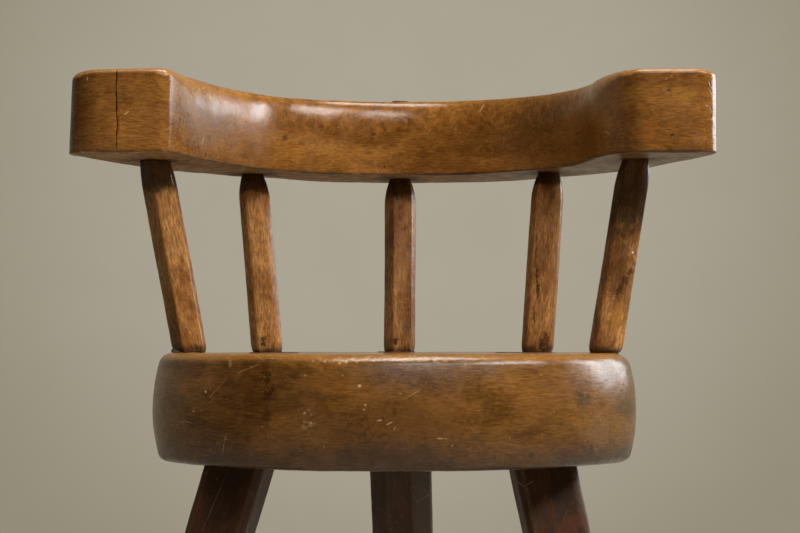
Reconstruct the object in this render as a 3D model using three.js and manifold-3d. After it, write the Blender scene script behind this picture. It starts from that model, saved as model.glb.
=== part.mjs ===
// A low-backed stick chair: a thick round seat on three splayed legs, and a heavy bent rail on spindles.
// Millimetres, +Z up. The open front faces -Y. The origin is on the floor, under the middle of its box.
import * as THREE from "three";
import { mergeVertices } from "three/addons/utils/BufferGeometryUtils.js";
import Module from "manifold-3d";

const wasm = await Module();
wasm.setup();

// Room left between pieces that touch
const fit = 0.3;
// How far a cutter runs past the face that it opens
const cutPast = 1;

// Seat: a round slab with a swollen side
const seatHeight = 450; // floor to the flat top
const seatThickness = 87;
const seatWidth = 400; // across the widest part of the side
const seatSwell = 5; // the rims lie this much inside the widest part
const seatWidestDepth = 49; // from the top down to the widest part
const seatTopRound = 10;
const seatBottomRound = 7;

// Crest rail: its inside is an arc, and its outside is placed by its distance from that arc
const railAboveSeat = 159.5; // seat top to the rail's underside
const railThickness = 67;
const railArcForward = 13; // the arc's centre lies this far in front of the seat's centre
const railArcAside = 8; // and this far to its right
const railInnerRadius = 153;
const railBackDepth = 88; // front to back at the middle
const railShoulderDepth = 69; // narrowest, between the back and the arms
const railShoulderBearing = 54; // degrees from the back
const railTopRound = 9;
const railBottomRound = 2.5;

// Arms: the inside flares outwards to a blunt end. Reaches are measured out from the inside's arc, level with
// its centre. The left arm was left longer than the right.
const arms = {
  left: {
    side: -1,
    front: 95, // forward of the seat's centre
    flareBearing: 65, // degrees from the back, where the inside leaves its arc
    flareRun: 60, // straight on from there before it bends towards the front corner
    innerReach: 36, // to the inner front corner
    tipReach: 113, // to the outermost point
    flankBearing: 78, // degrees from the back
    flankDepth: 86,
  },
  right: {
    side: 1,
    front: 80.5,
    flareBearing: 84,
    flareRun: 38,
    innerReach: 25.5,
    tipReach: 101.5,
    flankBearing: 80,
    flankDepth: 80,
  },
};
const armCornerRun = 9; // how far from the inner corner its rounding starts
const armTipRound = 25;
const armTipRun = 15; // how far the tip runs straight back
const armFlankRun = 45; // how far the flank's line carries on towards the tip

// Drying crack in the front face of the left arm
const crackInside = 39; // inside the outermost point of the arm
const crackWidth = 1.4;
const crackDepth = 13;
const crackFromBottom = 7;
const crackFootWidth = 0.5; // its width and depth where it runs out
const crackFootDepth = 1;

// Spindles: chamfered square sticks with a round tenon at each end
const spindleWidth = 27.5;
const spindleFlat = 15; // width of the broad face between two chamfers
const spindleFootLength = 9; // the stick narrows to its foot over this length
const spindleNeckLength = 23; // and to its neck over this one
const spindleInset = 27; // foot centres inside the seat's widest edge
const spindleAside = 1.7; // the ring of feet lies this far to the right of the seat's centre
const spindleSocketDepth = 45; // into the seat
const spindleFootTenon = 19;
const spindleTopTenon = 16;
const backTenonProud = 6; // the back spindle's tenon stands above the rail
// Bearings in degrees from the back, of the foot round the seat's centre and of the top round the rail's arc
const spindles = [
  { name: "outer_left", foot: -90, top: -88.3, intoRail: 55, footWidth: 22.5, neckWidth: 24.5 },
  { name: "inner_left", foot: -44, top: -44.7, intoRail: 46.8, footWidth: 25, neckWidth: 18.5 },
  { name: "back", foot: -1.3, top: -2.8, intoRail: 50.2, footWidth: 25, neckWidth: 18.5 },
  { name: "inner_right", foot: 44.4, top: 41.5, intoRail: 36.6, footWidth: 25, neckWidth: 18.5 },
  { name: "outer_right", foot: 90, top: 88.2, intoRail: 39.1, footWidth: 22.5, neckWidth: 24.5 },
];

// Legs: chamfered square sticks that narrow towards the floor, tenoned right through the seat
const legTaper = 5; // a leg is this much narrower at the floor
const legInset = 58.5; // leg centres inside the seat's widest edge, at its underside
const legTenon = 34;
const broadFlat = 0.81; // broad face as a share of the width, on the front legs
const evenFlat = 0.42; // the same on the back leg, which is nearly a regular octagon
const legs = [
  { name: "front_left", width: 46.5, at: -122.5, lean: -117, splay: 17.7, turn: -5, flat: broadFlat },
  { name: "front_right", width: 48.5, at: 122.5, lean: 123, splay: 13.8, turn: 4, flat: broadFlat },
  { name: "back", width: 55.5, at: 0, lean: 5, splay: 16, turn: 0, flat: evenFlat },
];

// Wedges driven into the tenon ends, across the grain of what they lock into
const legWedge = { thickness: 4.5, tip: 1.2, depth: 42 };
const spindleWedge = { thickness: 3, tip: 0.9, depth: 26 };
const wedgeSide = 0.8; // a wedge stays this much inside each side of its tenon
const backWedgeSunk = 3; // the back wedge stops this much below its tenon's end

// How finely curves are cut into straight edges
const seatSides = 96;
const curveSteps = 9;
const sideSteps = 6;
const roundSteps = 4;
const sectionSides = 24;
const firstCornerBearing = -22.5; // degrees, of the first corner of an even eight-sided section

const radians = THREE.MathUtils.degToRad;
const railArcCentre = new THREE.Vector2(railArcAside, -railArcForward);
const spindleRingCentre = new THREE.Vector2(spindleAside, 0);

// A point at a bearing, in degrees from the back towards the right
function atBearing(bearing, radius, centre = new THREE.Vector2()) {
  const a = radians(bearing);
  return new THREE.Vector2(Math.sin(a), Math.cos(a)).multiplyScalar(radius).add(centre);
}

// A closed skin through rings of equal length, each counted anticlockwise seen from above, lowest ring first
function skin(rings) {
  const count = rings[0].length;
  const index = [];
  for (let r = 0; r + 1 < rings.length; r++) {
    for (let k = 0; k < count; k++) {
      const a = r * count + k;
      const b = r * count + ((k + 1) % count);
      index.push(a, b, b + count, a, b + count, a + count);
    }
  }
  const last = (rings.length - 1) * count;
  for (const [a, b, c] of THREE.ShapeUtils.triangulateShape(rings[0], [])) {
    index.push(a, c, b);
  }
  for (const [a, b, c] of THREE.ShapeUtils.triangulateShape(rings.at(-1), [])) {
    index.push(last + a, last + b, last + c);
  }
  const geometry = new THREE.BufferGeometry().setFromPoints(rings.flat());
  return geometry.setIndex(index);
}

// The same closed mesh as a solid that can be joined and cut
function toSolid(geometry) {
  const bare = new THREE.BufferGeometry();
  bare.setAttribute("position", geometry.getAttribute("position"));
  bare.setIndex(geometry.index);
  const merged = mergeVertices(bare, 1e-3);
  const corners = merged.index.array;
  const kept = [];
  for (let i = 0; i < corners.length; i += 3) {
    const [a, b, c] = corners.slice(i, i + 3);
    if (a !== b && b !== c && c !== a) {
      kept.push(a, b, c);
    }
  }
  return new wasm.Manifold(
    new wasm.Mesh({
      numProp: 3,
      vertProperties: merged.getAttribute("position").array,
      triVerts: new Uint32Array(kept),
    }),
  );
}

// A named mesh from a solid, with flat faces
function toMesh(name, solid, material) {
  const made = solid.getMesh();
  const geometry = new THREE.BufferGeometry();
  geometry.setAttribute("position", new THREE.BufferAttribute(made.vertProperties, 3));
  geometry.setIndex(new THREE.BufferAttribute(made.triVerts, 1));
  const mesh = new THREE.Mesh(geometry.toNonIndexed(), material);
  mesh.geometry.computeVertexNormals();
  mesh.name = name;
  return mesh;
}

// A chamfered square section: eight corners, with points between them on every side
function chamfered(width, flat, turn = 0) {
  const a = width / 2;
  const b = flat / 2;
  const corners = [
    [a, -b],
    [a, b],
    [b, a],
    [-b, a],
    [-a, b],
    [-a, -b],
    [-b, -a],
    [b, -a],
  ].map(([x, y]) => new THREE.Vector2(x, y).rotateAround(new THREE.Vector2(), radians(turn)));
  const perSide = sectionSides / corners.length;
  return corners.flatMap((from, i) => {
    const to = corners[(i + 1) % corners.length];
    return Array.from({ length: perSide }, (_, k) => from.clone().lerp(to, k / perSide));
  });
}

// A round section whose points pair up with those of a chamfered one
function round(width, turn = 0) {
  return Array.from({ length: sectionSides }, (_, k) => {
    const a = radians(turn + firstCornerBearing + (k * 360) / sectionSides);
    return new THREE.Vector2((width / 2) * Math.cos(a), (width / 2) * Math.sin(a));
  });
}

// A section square to a leaning axis, slid along the axis until it is cut level at one height.
// The axis leaves the origin and moves by lean.x and lean.y for each millimetre of height.
function levelRing(section, lean, height) {
  const axis = new THREE.Vector3(lean.x, lean.y, 1).normalize();
  const side = new THREE.Vector3(1, 0, 0).addScaledVector(axis, -axis.x).normalize();
  const back = axis.clone().cross(side);
  return section.map(({ x, y }) => {
    const point = side.clone().multiplyScalar(x).addScaledVector(back, y);
    point.addScaledVector(axis, -point.z / axis.z);
    return point.add(new THREE.Vector3(lean.x * height, lean.y * height, height));
  });
}

// A leaning solid from pairs of height and section
function leaning(lean, levels) {
  return toSolid(skin(levels.map(([height, section]) => levelRing(section, lean, height))));
}

// Rectangle for a wedge: its long way lies at a bearing, across the thin way
function slot(thickness, length, bearing) {
  const centre = new THREE.Vector2();
  return [
    [-thickness / 2, -length / 2],
    [thickness / 2, -length / 2],
    [thickness / 2, length / 2],
    [-thickness / 2, length / 2],
  ].map(([x, y]) => new THREE.Vector2(x, y).rotateAround(centre, radians(-bearing)));
}

// A wedge with its thick end at one height, and the slightly wider kerf that it sits in
function wedgeAndKerf(wedge, tenonWidth, lean, bearing, end, tenonEnd) {
  const length = tenonWidth - 2 * wedgeSide;
  const bottom = end - wedge.depth;
  const solid = leaning(lean, [
    [bottom, slot(wedge.tip, length, bearing)],
    [end, slot(wedge.thickness, length, bearing)],
  ]);
  const open = tenonWidth + 2 * fit;
  const kerf = leaning(lean, [
    [bottom - fit, slot(wedge.tip + 2 * fit, open, bearing)],
    [end, slot(wedge.thickness + 2 * fit, open, bearing)],
    [tenonEnd + fit, slot(wedge.thickness + 2 * fit, open, bearing)],
  ]);
  return { solid, kerf };
}

// Seat: half section from the axis out along the bottom, up the swollen side and back along the top
function seatBlank() {
  const spanAbove = seatWidestDepth - seatTopRound;
  const spanBelow = seatThickness - seatBottomRound - seatWidestDepth;
  const swellAt = (depth) => {
    const span = depth < seatWidestDepth ? spanAbove : spanBelow;
    return seatWidth / 2 - seatSwell * ((depth - seatWidestDepth) / span) ** 2;
  };
  const profile = [new THREE.Vector2(0, -seatThickness)];
  for (let i = 0; i <= roundSteps; i++) {
    const a = ((i / roundSteps) * Math.PI) / 2;
    const rim = swellAt(seatThickness - seatBottomRound);
    const inset = seatBottomRound * (1 - Math.sin(a));
    profile.push(new THREE.Vector2(rim - inset, seatBottomRound * (1 - Math.cos(a)) - seatThickness));
  }
  const sideTop = seatTopRound;
  const sideBottom = seatThickness - seatBottomRound;
  for (let i = 1; i < sideSteps; i++) {
    const depth = sideBottom + ((sideTop - sideBottom) * i) / sideSteps;
    profile.push(new THREE.Vector2(swellAt(depth), -depth));
  }
  for (let i = 0; i <= roundSteps; i++) {
    const a = ((i / roundSteps) * Math.PI) / 2;
    const rim = swellAt(seatTopRound);
    const inset = seatTopRound * (1 - Math.cos(a));
    profile.push(new THREE.Vector2(rim - inset, -seatTopRound * (1 - Math.sin(a))));
  }
  profile.push(new THREE.Vector2(0, 0));
  return toSolid(new THREE.LatheGeometry(profile, seatSides).rotateX(Math.PI / 2));
}

// Depth of the rail at a bearing: a cosine squared from the back down to the shoulder, and from there the
// square of the distance up to the arm's flank
function railDepthAt(bearing) {
  const away = Math.abs(bearing);
  if (away < railShoulderBearing) {
    const fall = Math.cos(((away / railShoulderBearing) * Math.PI) / 2) ** 2;
    return railShoulderDepth + (railBackDepth - railShoulderDepth) * fall;
  }
  const arm = bearing < 0 ? arms.left : arms.right;
  const share = (away - railShoulderBearing) / (arm.flankBearing - railShoulderBearing);
  return railShoulderDepth + (arm.flankDepth - railShoulderDepth) * share ** 2;
}

// A point on the rail's outside
function outsideAt(bearing) {
  return atBearing(bearing, railInnerRadius + railDepthAt(bearing), railArcCentre);
}

// One arm's plan, from the end of the inside's arc round the blunt end to the start of the flank
function armPlan(arm) {
  const start = atBearing(arm.side * arm.flareBearing, railInnerRadius, railArcCentre);
  const knee = atBearing(arm.side * (arm.flareBearing + 90), arm.flareRun, start);
  const cornerX = railArcCentre.x + arm.side * (railInnerRadius + arm.innerReach);
  const corner = new THREE.Vector2(cornerX, -arm.front);
  const cornerStart = corner.clone().lerp(knee, armCornerRun / corner.distanceTo(knee));
  const tipX = railArcCentre.x + arm.side * (railInnerRadius + arm.tipReach);
  const tip = new THREE.Vector2(tipX, armTipRound - arm.front);
  const flank = outsideAt(arm.side * arm.flankBearing);
  const along = flank.clone().sub(outsideAt(arm.side * (arm.flankBearing - 1)));
  const flankLine = along.setLength(armFlankRun).add(flank);
  const plan = new THREE.Path([start]);
  plan.quadraticCurveTo(knee.x, knee.y, cornerStart.x, cornerStart.y);
  plan.quadraticCurveTo(corner.x, corner.y, corner.x + arm.side * armCornerRun, corner.y);
  plan.lineTo(tip.x - arm.side * armTipRound, -arm.front);
  plan.quadraticCurveTo(tip.x, -arm.front, tip.x, tip.y);
  plan.bezierCurveTo(tip.x, tip.y + armTipRun, flankLine.x, flankLine.y, flank.x, flank.y);
  return plan.getPoints(curveSteps);
}

// The whole plan, anticlockwise: along the inside, round the right arm, along the outside, round the left arm
function railPlan() {
  const inside = [];
  const outside = [];
  const steps = 4 * curveSteps;
  for (let i = 1; i < steps; i++) {
    const share = i / steps;
    const inBearing = THREE.MathUtils.lerp(-arms.left.flareBearing, arms.right.flareBearing, share);
    const outBearing = THREE.MathUtils.lerp(arms.right.flankBearing, -arms.left.flankBearing, share);
    inside.push(atBearing(inBearing, railInnerRadius, railArcCentre));
    outside.push(outsideAt(outBearing));
  }
  return [...inside, ...armPlan(arms.right), ...outside, ...armPlan(arms.left).reverse()];
}

// A plan drawn in by an inset: every corner moves along the middle of its two edges' normals
function drawnIn(plan, inset) {
  return plan.map((point, i) => {
    const before = plan[(i + plan.length - 1) % plan.length];
    const after = plan[(i + 1) % plan.length];
    const inward = [point.clone().sub(before), after.clone().sub(point)].map((edge) => {
      edge.normalize();
      return new THREE.Vector2(-edge.y, edge.x);
    });
    const miter = inward[0].clone().add(inward[1]);
    miter.multiplyScalar(inset / (1 + inward[0].dot(inward[1])));
    return miter.add(point);
  });
}

// Rail blank standing on its underside, with rounded lower and upper edges
function railBlank() {
  const plan = railPlan();
  const rings = [];
  const addRing = (inset, height) => {
    rings.push(drawnIn(plan, inset).map(({ x, y }) => new THREE.Vector3(x, y, height)));
  };
  for (let i = 0; i <= roundSteps; i++) {
    const a = ((i / roundSteps) * Math.PI) / 2;
    addRing(railBottomRound * (1 - Math.sin(a)), railBottomRound * (1 - Math.cos(a)));
  }
  for (let i = 0; i <= roundSteps; i++) {
    const a = ((i / roundSteps) * Math.PI) / 2;
    addRing(railTopRound * (1 - Math.cos(a)), railThickness - railTopRound * (1 - Math.sin(a)));
  }
  return toSolid(skin(rings));
}

// The drying crack as a thin upright prism that is cut out of the arm's front face
function crackPrism() {
  const { front, tipReach } = arms.left;
  const x = railArcCentre.x - railInnerRadius - tipReach + crackInside;
  const ring = (width, depth, height) => [
    new THREE.Vector3(x - width / 2, -front - cutPast, height),
    new THREE.Vector3(x + width / 2, -front - cutPast, height),
    new THREE.Vector3(x, depth - front, height),
  ];
  return toSolid(
    skin([
      ring(crackFootWidth, crackFootDepth, crackFromBottom),
      ring(crackWidth, crackDepth, railThickness / 2),
      ring(crackWidth, crackDepth, railThickness + cutPast),
    ]),
  );
}

const wood = (color, roughness) => new THREE.MeshStandardMaterial({ color, roughness, metalness: 0 });
const seatWood = wood(0x7a4d26, 0.4);
const railWood = wood(0x8a5a2c, 0.38);
const spindleWood = wood(0x6b4320, 0.45);
const legWood = wood(0x4a2e17, 0.5);
const wedgeWood = wood(0x8d6a3f, 0.55);

const seatTop = seatHeight;
const seatUnderside = seatHeight - seatThickness;
const railUnderside = seatTop + railAboveSeat;

const chair = new THREE.Group();
let seatSolid = seatBlank();
let railSolid = railBlank().subtract(crackPrism());

for (const spindle of spindles) {
  const foot = atBearing(spindle.foot, seatWidth / 2 - spindleInset, spindleRingCentre);
  const top = atBearing(spindle.top, railInnerRadius + spindle.intoRail, railArcCentre);
  const lean = top.clone().sub(foot).divideScalar(railAboveSeat);
  const isBack = spindle.name === "back";
  const end = railAboveSeat + railThickness + (isBack ? backTenonProud : 0);
  const section = (width) => chamfered(width, (spindleFlat * width) / spindleWidth);
  const stick = leaning(lean, [
    [-spindleSocketDepth, round(spindleFootTenon)],
    [fit, round(spindleFootTenon)],
    [fit, section(spindle.footWidth)],
    [spindleFootLength, section(spindleWidth)],
    [railAboveSeat - spindleNeckLength, section(spindleWidth)],
    [railAboveSeat - fit, section(spindle.neckWidth)],
    [railAboveSeat - fit, round(spindleTopTenon)],
    [end, round(spindleTopTenon)],
  ]);
  const wedgeEnd = isBack ? end - backWedgeSunk : end;
  const wedge = wedgeAndKerf(spindleWedge, spindleTopTenon, lean, spindle.top, wedgeEnd, end);
  const seatSocket = leaning(lean, [
    [-spindleSocketDepth - fit, round(spindleFootTenon + 2 * fit)],
    [cutPast, round(spindleFootTenon + 2 * fit)],
  ]);
  const railSocket = leaning(lean, [
    [railAboveSeat - cutPast, round(spindleTopTenon + 2 * fit)],
    [railAboveSeat + railThickness + cutPast, round(spindleTopTenon + 2 * fit)],
  ]);
  seatSolid = seatSolid.subtract(seatSocket.translate([foot.x, foot.y, 0]));
  railSolid = railSolid.subtract(railSocket.translate([foot.x, foot.y, -railAboveSeat]));
  const stickMesh = toMesh(`spindle_${spindle.name}`, stick.subtract(wedge.kerf), spindleWood);
  const wedgeMesh = toMesh(`spindle_wedge_${spindle.name}`, wedge.solid, wedgeWood);
  for (const mesh of [stickMesh, wedgeMesh]) {
    mesh.position.set(foot.x, foot.y, seatTop);
    chair.add(mesh);
  }
}

for (const leg of legs) {
  const head = atBearing(leg.at, seatWidth / 2 - legInset);
  const lean = atBearing(leg.lean, -Math.tan(radians(leg.splay)));
  const section = (width) => chamfered(width, width * leg.flat, leg.turn);
  const stick = leaning(lean, [
    [-seatUnderside, section(leg.width - legTaper)],
    [-fit, section(leg.width)],
    [-fit, round(legTenon, leg.turn)],
    [seatThickness, round(legTenon, leg.turn)],
  ]);
  const wedge = wedgeAndKerf(legWedge, legTenon, lean, 0, seatThickness, seatThickness);
  const socket = leaning(lean, [
    [-cutPast, round(legTenon + 2 * fit, leg.turn)],
    [seatThickness + cutPast, round(legTenon + 2 * fit, leg.turn)],
  ]);
  seatSolid = seatSolid.subtract(socket.translate([head.x, head.y, -seatThickness]));
  const stickMesh = toMesh(`leg_${leg.name}`, stick.subtract(wedge.kerf), legWood);
  const wedgeMesh = toMesh(`leg_wedge_${leg.name}`, wedge.solid, wedgeWood);
  for (const mesh of [stickMesh, wedgeMesh]) {
    mesh.position.set(head.x, head.y, seatUnderside);
    chair.add(mesh);
  }
}

const seat = toMesh("seat", seatSolid, seatWood);
seat.position.z = seatTop;
const rail = toMesh("crest_rail", railSolid, railWood);
rail.position.z = railUnderside;
chair.add(seat, rail);

// The chair stands on the origin's level with the middle of its box over the origin
const middle = new THREE.Box3().setFromObject(chair).getCenter(new THREE.Vector3());
chair.position.set(-middle.x, -middle.y, 0);

const part = new THREE.Group();
part.add(chair);
export default part;
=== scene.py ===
# A low-backed stick chair in worn, waxed brown wood, seen nearly from the front.
# Shapes are worked out in millimetres from the seat's centre, with z from the floor. makePiece puts them in
# place in metres.
import math

import bpy
import numpy as np
from mathutils import Matrix, Vector


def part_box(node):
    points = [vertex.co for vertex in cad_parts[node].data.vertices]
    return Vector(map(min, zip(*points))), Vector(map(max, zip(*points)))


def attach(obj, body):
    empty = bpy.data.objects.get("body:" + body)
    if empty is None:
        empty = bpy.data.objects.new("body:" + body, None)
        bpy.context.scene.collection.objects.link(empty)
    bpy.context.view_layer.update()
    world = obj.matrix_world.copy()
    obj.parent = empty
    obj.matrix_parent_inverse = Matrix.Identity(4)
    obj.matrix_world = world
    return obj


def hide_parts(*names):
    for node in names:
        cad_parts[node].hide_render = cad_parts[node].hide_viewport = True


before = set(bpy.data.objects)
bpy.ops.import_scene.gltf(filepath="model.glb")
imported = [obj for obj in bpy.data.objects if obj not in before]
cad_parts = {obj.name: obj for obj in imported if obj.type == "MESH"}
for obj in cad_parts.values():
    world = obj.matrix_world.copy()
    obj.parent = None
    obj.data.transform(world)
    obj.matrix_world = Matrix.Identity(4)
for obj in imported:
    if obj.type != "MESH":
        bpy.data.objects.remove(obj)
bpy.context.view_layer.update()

seatLow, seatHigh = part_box("seat")
seatCentre = (seatLow + seatHigh) / 2
seatTop = seatHigh.z * 1000
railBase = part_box("crest_rail")[0].z * 1000

# working with arrays


def smooth(x):
    # 0 below 0, 1 above 1, and an S-curve between
    x = np.clip(x, 0, 1)
    return x * x * (3 - 2 * x)


def rising(x, start, end):
    # 0 up to the start and 1 from the end, with an S-curve between. With the end below the start it falls
    return smooth((x - start) / (end - start))


def bump(x, middle, width):
    # a bell curve that is 1 at the middle
    return np.exp(-(((x - middle) / width) ** 2))


def ripple(points, size, seed):
    # uneven ground from about -1 to 1: sines in random directions, each about one size long, added up
    waves = 9
    rng = np.random.default_rng(seed)
    heading = rng.normal(size=(waves, 3))
    heading *= (2 * np.pi / (size * rng.uniform(0.6, 1.7, waves)) / np.linalg.norm(heading, axis=1))[:, None]
    start = rng.uniform(0, 2 * np.pi, waves)
    return np.sin(points @ heading.T + start).sum(-1) / math.sqrt(waves * 2)


def handmade(points, layers):
    # a surface's unevenness: ripples added up, each given by its height, size and seed
    return sum(height * ripple(points, size, seed) for height, size, seed in layers)


def allRound(columns):
    # bearings of evenly spaced columns, in radians anticlockwise from the right
    return np.linspace(0, 2 * np.pi, columns, endpoint=False)


def gapTo(points, middles, reach):
    # how far each point lies, in plan, outside the nearest of some equal circles
    return np.linalg.norm(points[..., None, :2] - np.stack(middles), axis=-1).min(-1) - reach


def near(gap, reach):
    # 1 without a gap, dying away over about the reach
    return np.exp(-np.maximum(gap, 0) / reach)


def tubeNormals(points):
    # outward normal of a closed-column grid: the way round crossed with the way up, at each point
    around = np.roll(points, -1, axis=1) - np.roll(points, 1, axis=1)
    upward = np.gradient(points, axis=0)
    normal = np.cross(around, upward)
    return normal / np.maximum(np.linalg.norm(normal, axis=-1, keepdims=True), 1e-9)


def tubeFaces(rows, columns):
    # quads of a grid whose last column joins the first, rows going up and columns anticlockwise from above
    k = np.arange(columns)
    r = np.arange(rows - 1)[:, None] * columns
    after = (k + 1) % columns
    corners = [r + k, r + after, r + columns + after, r + columns + k]
    return np.stack(corners, axis=-1).reshape(-1, 4)


def fanFaces(ring, pole, upward):
    # triangles from a ring of point numbers to one pole
    after = np.roll(ring, -1)
    middle = np.full(len(ring), pole)
    return np.stack([ring, after, middle] if upward else [after, ring, middle], axis=-1)


def closedFaces(rows, columns):
    # a grid's quads and the fans that close its ends, whose poles are numbered after the grid's own points
    ring = np.arange(columns)
    lowFan = fanFaces(ring, rows * columns, False)
    topFan = fanFaces(ring + (rows - 1) * columns, rows * columns + 1, True)
    return [tubeFaces(rows, columns), lowFan, topFan]


def makePiece(name, parts, material, cadNode):
    # joins parts into one object that stands for a CAD node. A part is its points, its blocks of faces with
    # the wood's grain at each face's corners, and its masks
    points, faces, grains, masks, count = [], [], [], {}, 0
    for partPoints, blocks, partMasks in parts:
        points.append(partPoints)
        for block, grain in blocks:
            faces += (block + count).tolist()
            grains.append(grain.reshape(-1, 3))
        for key, values in partMasks.items():
            masks.setdefault(key, []).append(values)
        count += len(partPoints)
    place = np.array([seatCentre.x, seatCentre.y, 0])
    mesh = bpy.data.meshes.new(name)
    mesh.from_pydata(np.concatenate(points) / 1000 + place, [], faces)
    for key, values in masks.items():
        layer = mesh.attributes.new(key, "FLOAT", "POINT")
        layer.data.foreach_set("value", np.concatenate(values).astype(np.float32))
    layer = mesh.attributes.new("grain", "FLOAT_VECTOR", "CORNER")
    layer.data.foreach_set("vector", np.concatenate(grains).astype(np.float32).ravel())
    mesh.shade_smooth()
    mesh.materials.append(material)
    piece = bpy.data.objects.new(name, mesh)
    bpy.context.scene.collection.objects.link(piece)
    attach(piece, "root")
    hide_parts(cadNode)
    return piece


# working with nodes


def tint(code):
    # a colour written as six hex digits, made linear
    parts = [int(code[i : i + 2], 16) / 255 for i in (0, 2, 4)]
    return [c / 12.92 if c <= 0.04045 else ((c + 0.055) / 1.055) ** 2.4 for c in parts] + [1]


def put(tree, kind, inputs=None, **settings):
    # a node with its settings, its inputs given as values or as outputs of other nodes
    node = tree.nodes.new(kind)
    for key, value in settings.items():
        setattr(node, key, value)
    for key, value in (inputs or {}).items():
        if isinstance(value, bpy.types.NodeSocket):
            tree.links.new(value, node.inputs[key])
        else:
            node.inputs[key].default_value = value
    return node


def maths(tree, operation, a, b=0.0, clamp=False):
    return put(tree, "ShaderNodeMath", {0: a, 1: b}, operation=operation, use_clamp=clamp).outputs[0]


def stepped(tree, value, low, high, lowest=0.0, highest=1.0):
    # an S-curve between two values
    inputs = {"Value": value, "From Min": low, "From Max": high, "To Min": lowest, "To Max": highest}
    return put(tree, "ShaderNodeMapRange", inputs, interpolation_type="SMOOTHSTEP").outputs["Result"]


def blended(tree, share, a, b):
    # one colour passing into another
    return put(tree, "ShaderNodeMix", {0: share, 6: a, 7: b}, data_type="RGBA").outputs[2]


def vectorMaths(tree, operation, a, b=(0, 0, 0)):
    return put(tree, "ShaderNodeVectorMath", {0: a, 1: b}, operation=operation).outputs


def stretched(tree, vector, scale):
    return vectorMaths(tree, "MULTIPLY", vector, scale)["Vector"]


def turnedRound(tree, vector, angle):
    # turned about the front-to-back line
    inputs = {"Vector": vector, "Angle": angle}
    return put(tree, "ShaderNodeVectorRotate", inputs, rotation_type="Y_AXIS").outputs["Vector"]


def noise(tree, vector, scale, detail, rough, distortion=0.0):
    inputs = {"Vector": vector, "Scale": scale, "Detail": detail}
    inputs |= {"Roughness": rough, "Distortion": distortion}
    return put(tree, "ShaderNodeTexNoise", inputs).outputs["Fac"]


def stretchedNoise(tree, vector, scale, *settings):
    return noise(tree, stretched(tree, vector, scale), 1.0, *settings)


def aboutZero(tree, value):
    # a value between 0 and 1 moved to lie either side of 0
    return maths(tree, "SUBTRACT", value, 0.5)


def added(tree, total, value, share):
    # the total and a share of another value
    return maths(tree, "ADD", total, maths(tree, "MULTIPLY", value, share))


def newGroup(name, inputs, outputs):
    tree = bpy.data.node_groups.new(name, "ShaderNodeTree")
    kinds = {"value": "NodeSocketFloat", "vector": "NodeSocketVector", "colour": "NodeSocketColor"}
    for label, kind, value in inputs:
        socket = tree.interface.new_socket(label, in_out="INPUT", socket_type=kinds[kind])
        socket.default_value = value
    for label, kind in outputs:
        tree.interface.new_socket(label, in_out="OUTPUT", socket_type=kinds[kind])
    return tree, tree.nodes.new("NodeGroupInput").outputs, tree.nodes.new("NodeGroupOutput").inputs


def giveOut(tree, outs, values):
    for label, value in values.items():
        tree.links.new(value, outs[label])


def use(tree, group, inputs):
    return put(tree, "ShaderNodeGroup", inputs, node_tree=group).outputs


# Wood figure in a vector of millimetres whose x runs along the fibres. Each layer is a noise, stretched along
# the fibres, that an S-curve between two values makes crisper
figure, ins, outs = newGroup(
    "woodFigure",
    [("Grain", "vector", (0, 0, 0)), ("Fibre Length", "value", 14.0), ("Pores", "value", 0.5)],
    [("Fibre", "value"), ("Streak", "value"), ("Mottle", "value"), ("Flame", "value"), ("Pore", "value")],
)
wavy = put(figure, "ShaderNodeTexNoise", {"Vector": ins["Grain"], "Scale": 0.018, "Detail": 1.0})
wander = vectorMaths(figure, "SUBTRACT", wavy.outputs["Color"], (0.5, 0.5, 0.5))["Vector"]
wander = stretched(figure, wander, (0, 9, 9))
bent = vectorMaths(figure, "ADD", ins["Grain"], wander)["Vector"]
alongFibre = maths(figure, "DIVIDE", 1.0, ins["Fibre Length"])
fibreScale = put(figure, "ShaderNodeCombineXYZ", {"X": alongFibre, "Y": 0.72, "Z": 0.72}).outputs[0]
streakScale = stretched(figure, fibreScale, (0.3, 0.38, 0.38))
figureLayers = {
    "Fibre": {"scale": fibreScale, "noise": (5.0, 0.74), "between": (0.37, 0.63)},
    "Streak": {"scale": streakScale, "noise": (4.0, 0.62, 0.3), "between": (0.36, 0.64)},
    "Mottle": {"scale": (0.014, 0.032, 0.032), "noise": (4.0, 0.6, 0.4), "between": (0.36, 0.64)},
    "Flame": {"scale": (0.07, 0.06, 0.06), "noise": (4.0, 0.65, 0.5), "between": (0.42, 0.7)},
}
for label, layer in figureLayers.items():
    cloudy = stretchedNoise(figure, bent, layer["scale"], *layer["noise"])
    figure.links.new(stepped(figure, cloudy, *layer["between"]), outs[label])
# pores are short dashes, and they lie in bands
dashes = stepped(figure, stretchedNoise(figure, bent, (0.22, 1.5, 1.5), 2.0, 0.5), 0.66, 0.74)
bands = stretchedNoise(figure, bent, (0.02, 0.12, 0.12), 2.0, 0.5)
bands = stepped(figure, maths(figure, "ADD", bands, aboutZero(figure, ins["Pores"])), 0.45, 0.65)
figure.links.new(maths(figure, "MULTIPLY", dashes, bands), outs["Pore"])

# Edge wear: a worn mask broken up by noise, so that the finish is gone in flecks and runs
wear, ins, outs = newGroup(
    "edgeWear",
    [("Worn", "value", 0.0), ("Grain", "vector", (0, 0, 0)), ("Reach", "value", 0.5)],
    [("Rubbed", "value"), ("Fleck", "value")],
)
broken = stretchedNoise(wear, ins["Grain"], (0.1, 0.3, 0.3), 5.0, 0.68)
rubbed = stepped(wear, added(wear, aboutZero(wear, broken), ins["Worn"], ins["Reach"]), 0.05, 0.5)
flecks = stepped(wear, stretchedNoise(wear, ins["Grain"], (0.35, 0.8, 0.8), 2.0, 0.6), 0.58, 0.68)
giveOut(wear, outs, {"Rubbed": rubbed, "Fleck": maths(wear, "MULTIPLY", flecks, ins["Worn"])})

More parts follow.
